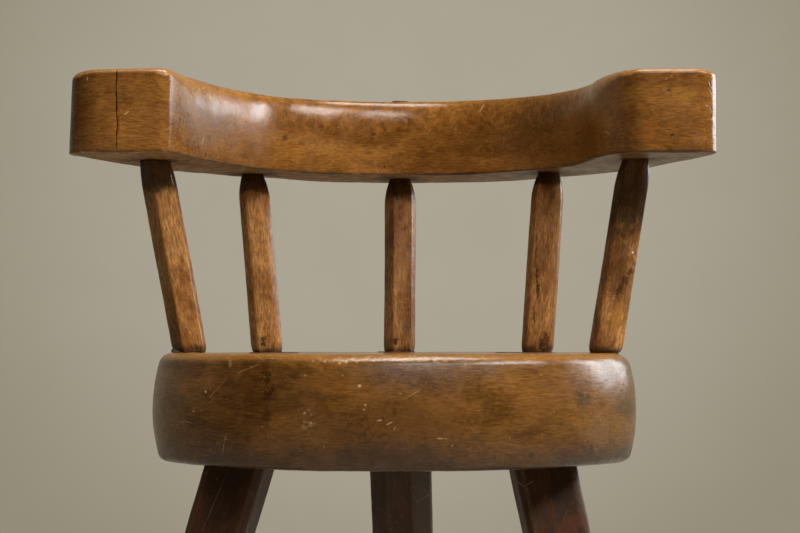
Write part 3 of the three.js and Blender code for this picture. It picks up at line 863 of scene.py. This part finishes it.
def armOfRail(arm, shape):
    # one arm's plan, from the end of the inside's arc round the blunt end to the start of the flank
    side = arm["side"]
    start = atBearing(side * arm["flareBearing"], shape["radius"], railArc)
    knee = atBearing(side * (arm["flareBearing"] + 90), arm["flareRun"], start)
    corner = np.array([railArc[0] + side * (shape["radius"] + arm["innerReach"]), -arm["front"]])
    towards = (knee - corner) / np.linalg.norm(knee - corner)
    cornerStart = corner + towards * arm["cornerRun"]
    cornerEnd = corner + [side * arm["cornerRun"], 0]
    tip = np.array([railArc[0] + side * (shape["radius"] + arm["tipReach"]), arm["tipRound"] - arm["front"]])
    flank = outsideOfRail(np.array(side * arm["flankBearing"]), shape)
    before = outsideOfRail(np.array(side * (arm["flankBearing"] - 1)), shape)
    handle = flank + (flank - before) / np.linalg.norm(flank - before) * shape["flankRun"]
    return np.concatenate(
        [
            bend(60, start, knee, cornerStart)[:-1],
            bend(16, cornerStart, corner, cornerEnd)[:-1],
            bend(30, cornerEnd, [tip[0] - side * arm["tipRound"], -arm["front"]])[:-1],
            bend(30, [tip[0] - side * arm["tipRound"], -arm["front"]], [tip[0], -arm["front"]], tip)[:-1],
            bend(50, tip, tip + [0, shape["tipRun"]], handle, flank),
        ]
    )


def railPlan(shape):
    # the closed plan, anticlockwise, at even steps and softened by a bell-shaped average along its length
    left, right = shape["left"], shape["right"]
    insideBearings = np.linspace(-left["flareBearing"], right["flareBearing"], 300)[1:-1]
    inside = atBearing(insideBearings, shape["radius"], railArc)
    outside = outsideOfRail(np.linspace(right["flankBearing"], -left["flankBearing"], 400)[1:-1], shape)
    plan = np.concatenate([inside, armOfRail(right, shape), outside, armOfRail(left, shape)[::-1]])
    closed = np.concatenate([plan, plan[:1]])
    run = np.append(0, np.cumsum(np.linalg.norm(np.diff(closed, axis=0), axis=1)))
    planCount, softening = 4000, 2.2
    even = np.linspace(0, run[-1], planCount + 1)[:-1]
    plan = np.stack([np.interp(even, run, closed[:, i]) for i in (0, 1)], axis=-1)
    reach = np.fft.fftfreq(len(even), d=even[1])[:, None]
    soft = np.exp(-2 * (np.pi * reach * softening) ** 2)
    return np.fft.ifft(np.fft.fft(plan, axis=0) * soft, axis=0).real


def spread(length, count, peaks):
    # places along a length, closer together near each peak (place, width, how much closer)
    fine = np.linspace(0, length, 3000)
    density = 1 + sum(strength * bump(fine, at, width) for at, width, strength in peaks)
    run = np.append(0, np.cumsum((density[1:] + density[:-1]) / 2))
    return np.interp(np.linspace(0, run[-1], count), run, fine)


plan = railPlan(railShape)
planStep = np.linalg.norm(plan - np.roll(plan, 1, axis=0), axis=1).mean()
left, right = railShape["left"], railShape["right"]


def cutAt(arm, reach):
    # the number of the plan's point nearest to a place on an arm's front line
    point = [railArc[0] + arm["side"] * (railShape["radius"] + arm[reach]), -arm["front"]]
    return int(np.argmin(np.linalg.norm(plan - point, axis=1)))


# the loop is cut at the left and right inner corners and at the right and left tips
places = [(left, "innerReach"), (right, "innerReach"), (right, "tipReach"), (left, "tipReach")]
cuts = [cutAt(arm, reach) for arm, reach in places]
crack = railShape["crack"]
crackX = railArc[0] - railShape["radius"] - left["tipReach"] + crack["fromTip"]
# the way along the face is a little longer than straight across, for its rounded tip
tipDetour = 1.02
crackAlong = (crackX - plan[cuts[3], 0]) * tipDetour


def chain(first, last, count, peaks=()):
    # plan points from one cut to the next, closer together near both, and how far along each lies
    length = ((last - first) % len(plan)) * planStep
    at = first + spread(length, count, [(0, 9, 3), (length, 9, 3), *peaks]) / planStep
    whole = np.arange(-len(plan), 2 * len(plan))
    tripled = np.concatenate([plan, plan, plan])
    return np.stack([np.interp(at, whole, tripled[:, i]) for i in (0, 1)], axis=-1), (at - first) * planStep


acrossCount, alongCount = 70, 300
innerChain, innerRun = chain(cuts[0], cuts[1], alongCount)
rightFace, rightRun = chain(cuts[1], cuts[2], acrossCount)
outerChain, outerRun = chain(cuts[2], cuts[3], alongCount)
leftFace, leftRun = chain(cuts[3], cuts[0], acrossCount, [(crackAlong, 1.3, 26)])
loop = np.concatenate([innerChain, rightFace[1:-1], outerChain, leftFace[1:-1]])
tangent = np.roll(loop, -1, axis=0) - np.roll(loop, 1, axis=0)
tangent /= np.linalg.norm(tangent, axis=1, keepdims=True)
outward = np.stack([tangent[:, 1], -tangent[:, 0]], axis=-1)

# how far along the rail each loop point is, and how far across its own face
innerShare = innerRun / innerRun[-1]
outerShare = 1 - outerRun / outerRun[-1]
faceShare = np.linspace(0, 1, acrossCount)[1:-1]
railLength = 700.0
loopAlong = np.concatenate([innerShare, 1 + 0 * faceShare, outerShare, 0 * faceShare]) * railLength

# the upper edge's rounding: full along the inside and the outside, smaller at the tips, least on the faces
high = railShape["thickness"]
innerMid = smooth(innerShare * 7) * smooth((1 - innerShare) * 7)
outerMid = smooth(outerShare * 6) * smooth((1 - outerShare) * 6)
nearTip = 1 - smooth((1 - faceShare) * 3.2)
nearCorner = 1 - smooth(faceShare * 4)
least, cornerTurn, fullRound = railShape["faceRound"], railShape["cornerRound"], railShape["topRound"]


def roundings(innerRound, tipKey):
    # the rounding's size at each loop point, from the corners' and the tips' own sizes
    arms = (right, left)
    faces = [least + (cornerTurn - least) * nearCorner + (arm[tipKey] - least) * nearTip for arm in arms]
    tips = left[tipKey] + (right[tipKey] - left[tipKey]) * smooth(outerShare * 3 - 1)
    inner = cornerTurn + (innerRound - cornerTurn) * innerMid
    outer = tips + (fullRound - tips) * outerMid
    return np.concatenate([inner, faces[0], outer, faces[1][::-1]])


topAcross = roundings(fullRound, "tipTopAcross")
topDown = roundings(railShape["innerTopRound"], "tipTopRound")
quarter = np.linspace(0, np.pi / 2, 13)[:, None]
lowTurn = quarter[::2]
wall = np.linspace(0, 1, 36)[1:-1, None]
ones = np.ones(len(loop))
low = railShape["bottomRound"]
lowIn, topIn = low * (1 - np.sin(lowTurn)), topAcross * (1 - np.cos(quarter))
inset = np.concatenate([lowIn * ones, 0 * wall * ones, topIn])
lowUp, wallUp = low * (1 - np.cos(lowTurn)), low + wall * (high - topDown - low)
height = np.concatenate([lowUp * ones, wallUp, high - topDown * (1 - np.sin(quarter))])
sideSplay = np.where(loop[:, 0] < 0, left["splay"], right["splay"])
inset = inset - sideSplay * rising(np.abs(loop[:, 0] - railArc[0]), 190, 250) * (1 - height / high)
sides = np.concatenate([loop - inset[..., None] * outward, (railBase + height)[..., None]], axis=-1)
turn = np.concatenate([lowTurn - np.pi / 2, 0 * wall, quarter]) * ones
sideNormals = np.concatenate([np.cos(turn)[..., None] * outward, np.sin(turn)[..., None]], axis=-1)


def fourFaces(ring):
    # the loop's values in its four parts: the inside, the right face, the outside and the left face, the last
    # two turned to run the same way as the first two. Only the inside and the outside hold the corners
    ends = np.cumsum([alongCount, acrossCount - 2, alongCount])
    inner, faceRight, outer, faceLeft = np.split(ring, ends)
    return inner, faceRight, outer[::-1], faceLeft[::-1]


def capOf(rimRing, z):
    # a flat sheet between four border curves: lines ruled from the inside to the outside, pulled near each
    # end on to the arm's face
    inner, faceRight, outer, faceLeft = fourFaces(rimRing)
    faceRight = np.concatenate([inner[-1:], faceRight, outer[-1:]])
    faceLeft = np.concatenate([inner[:1], faceLeft, outer[:1]])
    u = innerShare[:, None, None]
    vLeft = 1 - leftRun[::-1] / leftRun[-1]
    vRight = rightRun / rightRun[-1]
    v = (1 - u[..., 0]) * vLeft + u[..., 0] * vRight
    sheet = inner[:, None] * (1 - v[..., None]) + outer[:, None] * v[..., None]
    straightLeft = inner[0] + (outer[0] - inner[0]) * vLeft[:, None]
    straightRight = inner[-1] + (outer[-1] - inner[-1]) * vRight[:, None]
    pull = 12
    sheet = sheet + (1 - u) ** pull * (faceLeft - straightLeft) + u**pull * (faceRight - straightRight)
    return np.concatenate([sheet, np.full(sheet.shape[:2] + (1,), z)], axis=-1)


ringCount = len(loop)
rowCount = len(sides)
insideCount = (alongCount - 2) * (acrossCount - 2)


def capNumbers(firstOfRing, firstInside):
    # point numbers of the cap's grid: its border is the ring's own points
    inner, faceRight, outer, faceLeft = fourFaces(np.arange(ringCount) + firstOfRing)
    grid = np.empty((alongCount, acrossCount), int)
    grid[1:-1, 1:-1] = np.arange(insideCount).reshape(alongCount - 2, -1) + firstInside
    grid[:, 0], grid[:, -1] = inner, outer
    grid[0, 1:-1], grid[-1, 1:-1] = faceLeft, faceRight
    return grid


def sheetFaces(grid, upward):
    corners = [grid[:-1, :-1], grid[:-1, 1:], grid[1:, 1:], grid[1:, :-1]]
    faces = np.stack(corners, axis=-1).reshape(-1, 4)
    return faces if upward else faces[:, ::-1]


lowCap = capOf(sides[0, :, :2], railBase)[1:-1, 1:-1]
topCap = capOf(sides[-1, :, :2], railBase + high)[1:-1, 1:-1]
capAlong = np.repeat(innerShare[1:-1, None], acrossCount - 2, axis=1) * railLength
railPoints = np.concatenate([sides.reshape(-1, 3), lowCap.reshape(-1, 3), topCap.reshape(-1, 3)])
up = np.array([0.0, 0.0, 1.0])
railNormals = np.concatenate([sideNormals.reshape(-1, 3), np.repeat([-up, up], insideCount, axis=0)])
uneven = handmade(railPoints, [(0.5, 110, 11), (0.18, 36, 12), (0.05, 12, 13)])

# the drying crack wanders a little as it goes up, and runs back over the top
above = railPoints[:, 2] - railBase
lineX = crackX + 0.4 * np.sin(above / 11) + 0.16 * np.sin(above / 3.1 + 1) + 0.1 * np.sin(above / 1.3)
behind = railPoints[:, 1] + left["front"]
reachBack = (1 - rising(behind, 3, 3 + crack["back"])) * (behind < crack["back"] + 6)
ragged = 1 + 0.3 * np.sin(above / 2.3 + 2 * np.sin(above / 7))
opening = crack["width"] / 2 * (0.5 + 0.5 * rising(above, 0, 45)) * ragged
gape = np.clip(1.25 - np.abs(railPoints[:, 0] - lineX) / opening, 0, 1)
gape = gape * reachBack * rising(above, crack["fromBottom"], crack["fromBottom"] + 5)
depth = crack["depth"] * np.clip(gape * 1.6, 0, 1)
railPoints = railPoints + railNormals * (uneven - depth)[:, None]

# the underside rises towards the arms' outsides and sags a little at the back
x, y = railPoints[:, 0], railPoints[:, 1]
radial = np.linalg.norm(railPoints[:, :2] - railArc, axis=1)
onArm = 1 - rising(y, 10, 80)
lift = railShape["armLift"] * onArm * rising(y, -84, -34) - railShape["backSag"] * (1 - onArm)
railPoints[:, 2] += lift * rising(radial, 165, 225) * np.clip(1 - above / high, 0, 1)

# the grain runs round the rail on its sides, and along it on its top and underside
step = np.linalg.norm(np.roll(loop, -1, axis=0) - loop, axis=1)
run = np.append(0, np.cumsum(step)[:-1])
run = np.where(np.arange(ringCount) > alongCount * 3 // 2 + acrossCount, run - step.sum(), run)
profile = np.append(0, np.linalg.norm(np.diff(sides[:, 0], axis=0), axis=1).cumsum())
sideGrain = np.empty((rowCount - 1, ringCount, 4, 3))
sideGrain[..., 0] = np.stack([run, run + step, run + step, run], axis=-1)
sideGrain[..., 1] = 300
sideGrain[..., 2] = np.stack([profile[:-1], profile[:-1], profile[1:], profile[1:]], axis=-1)[:, None]
along = np.concatenate([np.tile(loopAlong, rowCount), capAlong.ravel(), capAlong.ravel()])
capGrain = np.stack([along, radial, railPoints[:, 2]], axis=-1)

# dirt lies under the rail and round the spindles. The dark line along the lower edge is a painted shadow, and
# the crack's inside is darkened with painted shade. The upper rims are rubbed, most on the arms, and the
# underside has lost its stain, least towards the right
railDirtAndShade = {"under": 0.1, "spindles": 0.75, "lowEdgeShadow": 0.8, "crack": 1.6}
under = above < 1.2
bySpindles = near(gapTo(railPoints, [s["topPoint"] for s in spindles], spindleReach), 6)
grimeAndShade = under * (railDirtAndShade["under"] + railDirtAndShade["spindles"] * bySpindles)
grimeAndShade = grimeAndShade + railDirtAndShade["lowEdgeShadow"] * bump(above, 0.8, 1.1) + railDirtAndShade["crack"] * gape
rimWorn = np.append(bump(turn, 0.8, 0.55) * (turn > 0), np.zeros(2 * insideCount))
armShare = rising(np.abs(x - railArc[0]), 130, 190)
backWorn, rightLessBare = 0.12, 0.8
# painted shade: darker on the right half's inside, which faces away from the light, beside the right face's
# inner corner and at the left tip
railShade = {"inside": 0.42, "rightFace": 0.38, "leftFace": 0.62}
onInside = rising(radial, 225, 205) * rising(y, -82, -70)
besideCorner = rising(x, 150, 160) * (1 - rising(x, 186, 210)) * rising(y, -60, -75)
atLeftTip = rising(x, -212, -252) * rising(y, -70, -90)
shade = railShade["inside"] * onInside * rising(x, 50, 140)
shade = shade + (1 - onInside) * (railShade["rightFace"] * besideCorner + railShade["leftFace"] * atLeftTip)
railMasks = {
    "worn": rimWorn * (backWorn + (1 - backWorn) * armShare),
    "grimeAndShade": grimeAndShade,
    "bare": under * (1 - rightLessBare * rising(x, 10, 130)),
    "shade": shade * (1 - under),
}
firstCap = rowCount * ringCount
lowFaces = sheetFaces(capNumbers(0, firstCap), True)
topFaces = sheetFaces(capNumbers(firstCap - ringCount, firstCap + insideCount), False)
railBlocks = [(tubeFaces(rowCount, ringCount), sideGrain)]
railBlocks += [(faces, capGrain[faces]) for faces in (lowFaces, topFaces)]
makePiece("crest_rail_bent", [(railPoints, railBlocks, railMasks)], railWood, "crest_rail")
print("rail made:", len(railPoints), "points")

# sticks and wedges


def facetedRadius(bearing, facets, crisp):
    # a polygon with soft corners: each facet is a plane at its own bearing and distance, and the radius is
    # the blend of them all whose power says how crisp the arrises are
    usual = sum(distance for _, distance in facets) / len(facets)
    total = 0
    for facing, distance in facets:
        total = total + (np.maximum(np.cos(bearing - facing), 0) * usual / distance) ** crisp
    return usual * total ** (-1 / crisp)


def leaningTube(base, slope, heights, section, turn, columns=96):
    # rings of a leaning stick, each cut level: section(bearing, height) gives the radius square to the axis
    axis = np.array([slope[0], slope[1], 1.0])
    axis /= np.linalg.norm(axis)
    side = np.array([1.0, 0, 0]) - axis * axis[0]
    side /= np.linalg.norm(side)
    back = np.cross(axis, side)
    bearing = allRound(columns)[None, :]
    heights = np.asarray(heights, float)[:, None]
    r = section(bearing, heights)
    spin = bearing + math.radians(turn)
    local = (r * np.cos(spin))[..., None] * side + (r * np.sin(spin))[..., None] * back
    local = local - local[..., 2:] / axis[2] * axis
    middle = [base[0] + slope[0] * heights, base[1] + slope[1] * heights, base[2] + heights]
    return local + np.stack(middle, axis=-1)


def closedTube(points, masks):
    # a tube of rings with a pole in the middle of each end
    flat = {}
    for key, values in (masks | {"points": points}).items():
        ends = values[[0, -1]].mean(axis=1)
        flat[key] = np.concatenate([values.reshape((-1,) + values.shape[2:]), ends])
    grain = flat.pop("grain")
    return flat.pop("points"), [(block, grain[block]) for block in closedFaces(*points.shape[:2])], flat


def handCut(distance, seed, length):
    # facet distances that drift along the stick, as a spokeshave leaves them
    rng = np.random.default_rng(seed)
    shift, size, phase = rng.uniform(-0.25, 0.25), rng.uniform(0.1, 0.28), rng.uniform(0, 6.3)
    return lambda height: distance + shift + size * np.sin(height / length * 7 + phase)


def stickPart(base, slope, heights, widthAt, facets, crisp, turn, seed, grimeAt):
    # a whittled stick: facets that drift, narrowed by the width at each height, with worn arrises
    length = heights[-1] - heights[0]
    cut = []
    for number, (facing, distance) in enumerate(facets):
        cut.append((math.radians(facing), handCut(distance, seed * 31 + number, length)))

    def section(bearing, height):
        return facetedRadius(bearing, [(facing, at(height)) for facing, at in cut], crisp) * widthAt(height)

    points = leaningTube(base, slope, heights, section, turn)
    rows, columns = points.shape[:2]
    bearing = allRound(columns)[None, :]
    planes = [(facing, at(0)) for facing, at in cut]
    # an arris is worn where the soft-cornered section falls short of a sharp one
    sharpest, fullWear = 400, 0.35
    short = facetedRadius(bearing, planes, sharpest) - facetedRadius(bearing, planes, crisp)
    arris = np.clip(short / fullWear, 0, 1) * np.ones((rows, 1))
    heights = np.asarray(heights, float)[:, None]
    uneven = handmade(points, [(0.12, 26, seed), (0.05, 8, seed + 7)])
    points = points + tubeNormals(points) * uneven[..., None]
    x, y = points[..., 0] - slope[0] * heights, points[..., 1] - slope[1] * heights
    grain = np.stack([heights + 0 * x, x, y], axis=-1) + np.random.default_rng(seed).uniform(200, 900, 3)
    clean = np.zeros_like(arris)
    return points, {"grain": grain, "worn": arris, "grimeAndShade": clean + grimeAt(heights), "gunk": clean}


def gluePart(base, slope, foot, bead, seed):
    # a low, crumbly bead of old glue and polish round a stick's foot, higher and rougher on its left: a
    # quarter circle in height and width, both scaled by lumps
    share = np.linspace(0, 1, 9)[:, None]
    bearing = allRound(96)[None, :]
    lump = np.stack([np.cos(bearing), np.sin(bearing), 0 * bearing], axis=-1) * 11
    lumps = 1 + handmade(lump, [(0.6, 5, seed), (0.35, 1.8, seed + 1)])
    leftward = smooth(-np.cos(bearing) * 1.6 - 0.4)
    least, ledge = 0.45, 1.4
    size = np.clip(lumps, 0.25, 2.2) * (least + (bead - least) * leftward)
    tall = size * np.sin(share * np.pi / 2)
    wide = foot - ledge + (ledge + 0.9 * size) * np.cos(share * np.pi / 2)
    x = base[0] + tall * slope[0] + wide * np.cos(bearing)
    y = base[1] + tall * slope[1] + wide * np.sin(bearing)
    points = np.stack([x, y, base[2] + 0.05 + tall], axis=-1)
    clean = np.zeros(points.shape[:2])
    masks = {"grain": points + 400, "worn": clean, "grimeAndShade": clean + 0.8}
    return points, masks | {"gunk": clean + 0.8 * leftward * (bead > 1), "shade": clean}


def squareFacets(width, flat):
    # four broad faces and the four chamfers between them
    chamfer = (width / 2 + flat / 2) / math.sqrt(2)
    return [(k * 45, width / 2 if k % 2 == 0 else chamfer) for k in range(8)]


spindleWedge = {"thick": 3, "tip": 0.9, "depth": 26, "proud": 0.95}
# the back spindle's tenon is split and stands higher out of the rail than the others
backProud, backWedgeProud, usualProud = 6.0, 2.6, 0.7
# the bearing of the facet darkened with painted shade on each stick, the one facing away from the light
shadedFacet = {"outer_left": 226, "back": 221}
squareShaded = 205
spindleDirtAndShade = {"soot": 1.35, "foot": 0.8, "facetShade": 0.5}
for number, s in enumerate(spindles):
    end = railHeight + railShape["thickness"] + (backProud if s["name"] == "back" else usualProud)

    def spindleWidth(height):
        # full width, drawn in by a rounded curve to the foot and to the neck, with a tenon beyond each
        width = spindleShape["width"]
        foot = np.clip(height / spindleShape["footLength"], 0, 1)
        foot = np.sqrt(foot * (2 - foot))
        neck = np.clip((railHeight - height) / spindleShape["neckLength"], 0, 1)
        neck = neck * (2 - neck)
        wide = (s["footWidth"] + (width - s["footWidth"]) * foot) / width
        wide = wide * (s["neckWidth"] + (width - s["neckWidth"]) * neck) / width
        wide = np.where(height < -0.5, spindleShape["footTenon"] / width, wide)
        return np.where(height > railHeight + 0.5, spindleShape["topTenon"] / width * tenonEase, wide)

    def spindleGrime(height):
        fullSoot = railHeight - s["sootTop"] * 0.2
        soot = spindleDirtAndShade["soot"] * rising(height, railHeight - s["sootTop"], fullSoot)
        footDirt = spindleDirtAndShade["foot"] * rising(height, s["sootFoot"], s["sootFoot"] - 10)
        return soot * (height < railHeight + 30) + footDirt

    footEnd, neckStart = spindleShape["footLength"], railHeight - spindleShape["neckLength"]
    stretches = [
        [-spindleShape["socket"], -1.0, -0.4],
        np.linspace(0, footEnd, 14),
        np.linspace(footEnd, neckStart, 90)[1:],
        np.linspace(neckStart, railHeight + 0.4, 26)[1:],
        [railHeight + 0.6, railHeight + 40, end - 0.8, end - 0.3, end],
    ]
    facets = spindleCuts.get(s["name"]) or squareFacets(spindleShape["width"], spindleShape["chamfer"])
    shaping = (np.concatenate(stretches), spindleWidth, facets, spindleShape["crisp"], s["turn"], 40 + number)
    points, masks = stickPart(s["base"], s["slope"], *shaping, spindleGrime)
    # painted shade on the facet that faces left, away from the light
    side = np.cos(allRound(points.shape[1]) - np.radians(shadedFacet.get(s["name"], squareShaded)))
    masks["shade"] = spindleDirtAndShade["facetShade"] * rising(side, 0.8, 0.9) + 0 * masks["worn"]
    bead = gluePart(s["base"], s["slope"], s["footWidth"] / 2, s["bead"], 60 + number)
    parts = [closedTube(points, masks), closedTube(*bead)]
    makePiece(f"spindle_{s['name']}_stick", parts, spindleWood, f"spindle_{s['name']}")
print("spindles made")

thick = seatShape["thickness"]
tenonHeights = [0.3, 20, thick - 0.2, thick + 0.3, thick + 0.6]
legDirt = {"head": 0.5, "floor": 0.6}
legHeights = np.concatenate([np.linspace(-underside, 0, 190), tenonHeights])


def legGrime(height):
    # under the seat and near the floor
    high, low = rising(height, -14, 0), rising(height, 60 - underside, -underside)
    return legDirt["head"] * high + legDirt["floor"] * low


for number, g in enumerate(legs):

    def legWidth(height):
        # even taper to the floor, and a round tenon through the seat
        wide = 1 - np.clip(-height / underside, 0, 1) * legShape["taper"] / g["width"]
        return np.where(height > 0.2, legShape["tenon"] / g["width"] * tenonEase, wide)

    facets = squareFacets(g["width"], g["width"] * g["flat"])
    shaping = (legHeights, legWidth, facets, legShape["crisp"], g["turn"], 70 + number)
    points, masks = stickPart(g["base"], g["slope"], *shaping, legGrime)
    points[0, :, 2] = 0
    makePiece(f"leg_{g['name']}_stick", [closedTube(points, masks)], legWood, f"leg_{g['name']}")
print("legs made")


def wedgePart(stick, mouth, wedge, length, bearing, seed):
    # a thin tapered slip whose end shows in the tenon. Its section is a rectangle with hardly rounded corners
    end = mouth + wedge["proud"]
    heights = np.append(np.linspace(end - wedge["depth"], end - 0.3, 12), [end - 0.1, end])
    crisp = 16

    def section(around, height):
        share = np.clip((height - end + wedge["depth"]) / wedge["depth"], 0, 1)
        half = (wedge["tip"] + (wedge["thick"] - wedge["tip"]) * share) / 2
        across, along = np.abs(np.cos(around)) / half, np.abs(np.sin(around)) / (length / 2)
        both = np.maximum(across, 1e-6) ** crisp + np.maximum(along, 1e-6) ** crisp
        return both ** (-1 / crisp) * (1 - 0.06 * (height > end - 0.05))

    points = leaningTube(stick["base"], stick["slope"], heights, section, -bearing, 64)
    clean = points[..., 0] * 0
    grain = points[..., [2, 0, 1]] + seed * 17
    return closedTube(points, {"grain": grain, "worn": clean, "grimeAndShade": clean + 0.35})


legWedge = {"thick": 4.5, "tip": 1.2, "depth": 42, "proud": 0.85}
wedgeShort = 1.6
slips = []
for number, s in enumerate(spindles):
    wedge = spindleWedge | ({"proud": backWedgeProud} if s["name"] == "back" else {})
    railEnd, length = railHeight + railShape["thickness"], spindleShape["topTenon"] - wedgeShort
    slips.append((f"spindle_wedge_{s['name']}", wedgePart(s, railEnd, wedge, length, s["top"], number)))
for number, g in enumerate(legs):
    length = legShape["tenon"] - wedgeShort
    slips.append((f"leg_wedge_{g['name']}", wedgePart(g, thick, legWedge, length, 0, number + 9)))
for node, part in slips:
    makePiece(node + "_slip", [part], wedgeWood, node)
print("wedges made")

# floor, light and camera

wallColour, wallEdge = tint("aca594"), tint("938d79")
floorDrop = 0.0005


def floorDisc(radius, ringCount, columns):
    # a level disc: rings from its border inwards, and a pole
    share = np.linspace(radius, 0, ringCount + 1)[:-1, None]
    around = allRound(columns)
    level = 0 * share * around - floorDrop
    rings = np.stack([share * np.cos(around), share * np.sin(around), level], axis=-1)
    points = np.concatenate([rings.reshape(-1, 3), [[0, 0, -floorDrop]]])
    lastRing = np.arange(columns) + (ringCount - 1) * columns
    fan = fanFaces(lastRing, len(points) - 1, True).tolist()
    mesh = bpy.data.meshes.new("floor")
    mesh.from_pydata(points, [], tubeFaces(ringCount, columns).tolist() + fan)
    return mesh


floorMaterial = bpy.data.materials.new("paleFloor")
floorMaterial.use_nodes = True
tree = floorMaterial.node_tree
matte = tree.nodes["Principled BSDF"]
spot = put(tree, "ShaderNodeTexCoord").outputs["Object"]
matte.inputs["Base Color"].default_value = tint("b5ae9c")
matte.inputs["Roughness"].default_value = 0.8
away = vectorMaths(tree, "LENGTH", spot)["Value"]
clear = put(tree, "ShaderNodeBsdfTransparent").outputs[0]
fadeFrom, fadeTo = 0.9, 2.3
fade = stepped(tree, away, fadeFrom, fadeTo)
faded = put(tree, "ShaderNodeMixShader", {0: fade, 1: matte.outputs[0], 2: clear}).outputs[0]
tree.links.new(faded, tree.nodes["Material Output"].inputs["Surface"])
floor = bpy.data.objects.new("floor", floorDisc(radius=2.4, ringCount=12, columns=96))
floor.data.materials.append(floorMaterial)
bpy.context.scene.collection.objects.link(floor)

world = bpy.data.worlds.new("studio")
bpy.context.scene.world = world
world.use_nodes = True
tree = world.node_tree
path = put(tree, "ShaderNodeLightPath").outputs
seen = maths(tree, "ADD", path["Is Camera Ray"], path["Is Glossy Ray"])
seen = maths(tree, "ADD", seen, path["Is Transmission Ray"], clamp=True)
heading = put(tree, "ShaderNodeTexCoord").outputs["Generated"]
# the backdrop is painted lighter straight behind the chair and darker away from it: a painted pool of light
# on the wall
behindChair = (-0.033, 0.996, 0.082)
aim = vectorMaths(tree, "DOT_PRODUCT", heading, behindChair)["Value"]
wall = blended(tree, stepped(tree, aim, 0.97, 1.0), wallEdge, wallColour)
cloth = noise(tree, heading, 26.0, 4.0, 0.6)
wall = blended(tree, stepped(tree, cloth, 0.3, 0.7, 0.0, 0.05), wall, tint("7c7664"))
# the studio is darker in front of the chair and to its left, which only its reflections show
lit = stepped(tree, aim, -0.5, 0.75, 0.16, 1.0)
sideways = put(tree, "ShaderNodeSeparateXYZ", {0: heading}).outputs["X"]
lit = maths(tree, "MULTIPLY", lit, stepped(tree, sideways, -1.0, 0.2, 0.55, 1.0))
lit = maths(tree, "MAXIMUM", lit, path["Is Camera Ray"])
shown = put(tree, "ShaderNodeBackground", {"Color": wall, "Strength": lit}).outputs[0]
fill = put(tree, "ShaderNodeBackground", {"Color": (1.0, 0.94, 0.86, 1), "Strength": 0.15}).outputs[0]
both = put(tree, "ShaderNodeMixShader", {0: seen, 1: fill, 2: shown}).outputs[0]
tree.links.new(both, tree.nodes["World Output"].inputs["Surface"])

lamps = {
    "overheadBox": {"at": (0.2, -0.3, 2.25), "size": (1.25, 0.6), "power": 27, "colour": (1, 0.98, 0.96)},
    "sideBox": {"at": (1.65, -0.8, 1.95), "size": (1.3, 0.5), "power": 27, "colour": (1, 0.97, 0.93)},
    "frontBox": {"at": (0.55, -1.95, 1.95), "size": (1.3, 0.4), "power": 18, "colour": (1, 0.97, 0.94)},
    "window": {"at": (1.75, 0.82, 1.15), "size": (0.42, 0.85), "power": 14, "colour": (0.9, 0.95, 1)},
    "rearWindow": {"at": (1.42, 1.5, 1.0), "size": (0.5, 0.7), "power": 5.5, "colour": (0.88, 0.94, 1)},
}
target = Vector((0, 0, 0.5))
for name, lamp in lamps.items():
    data = bpy.data.lights.new(name, "AREA")
    data.shape = "RECTANGLE"
    data.size, data.size_y = lamp["size"]
    data.energy = lamp["power"]
    data.color = lamp["colour"]
    source = bpy.data.objects.new(name, data)
    source.location = lamp["at"]
    source.rotation_euler = (target - source.location).to_track_quat("-Z", "Y").to_euler()
    source.visible_camera = False
    bpy.context.scene.collection.objects.link(source)

view = {"turn": 1.9, "pitch": 2.09, "away": 1.75, "above": 0.008, "aside": 0.0046, "lens": 94.5}
turn, pitch = math.radians(view["turn"]), math.radians(view["pitch"])
rightward = Vector((math.cos(turn), math.sin(turn), 0))
forward = Vector((-math.sin(turn) * math.cos(pitch), math.cos(turn) * math.cos(pitch), math.sin(pitch)))
upright = rightward.cross(forward)
eye = Vector((seatCentre.x, seatCentre.y, seatHigh.z + view["above"])) + rightward * view["aside"]
eye += Vector((math.sin(turn), -math.cos(turn), 0)) * view["away"]
cameraData = bpy.data.cameras.new("camera")
cameraData.lens = view["lens"]
cameraData.sensor_width = 36
camera = bpy.data.objects.new("camera", cameraData)
camera.matrix_world = Matrix.Translation(eye) @ Matrix((rightward, upright, -forward)).transposed().to_4x4()
bpy.context.scene.collection.objects.link(camera)
bpy.context.scene.camera = camera
bpy.context.scene.view_settings.view_transform = "Standard"
print("light and camera set")
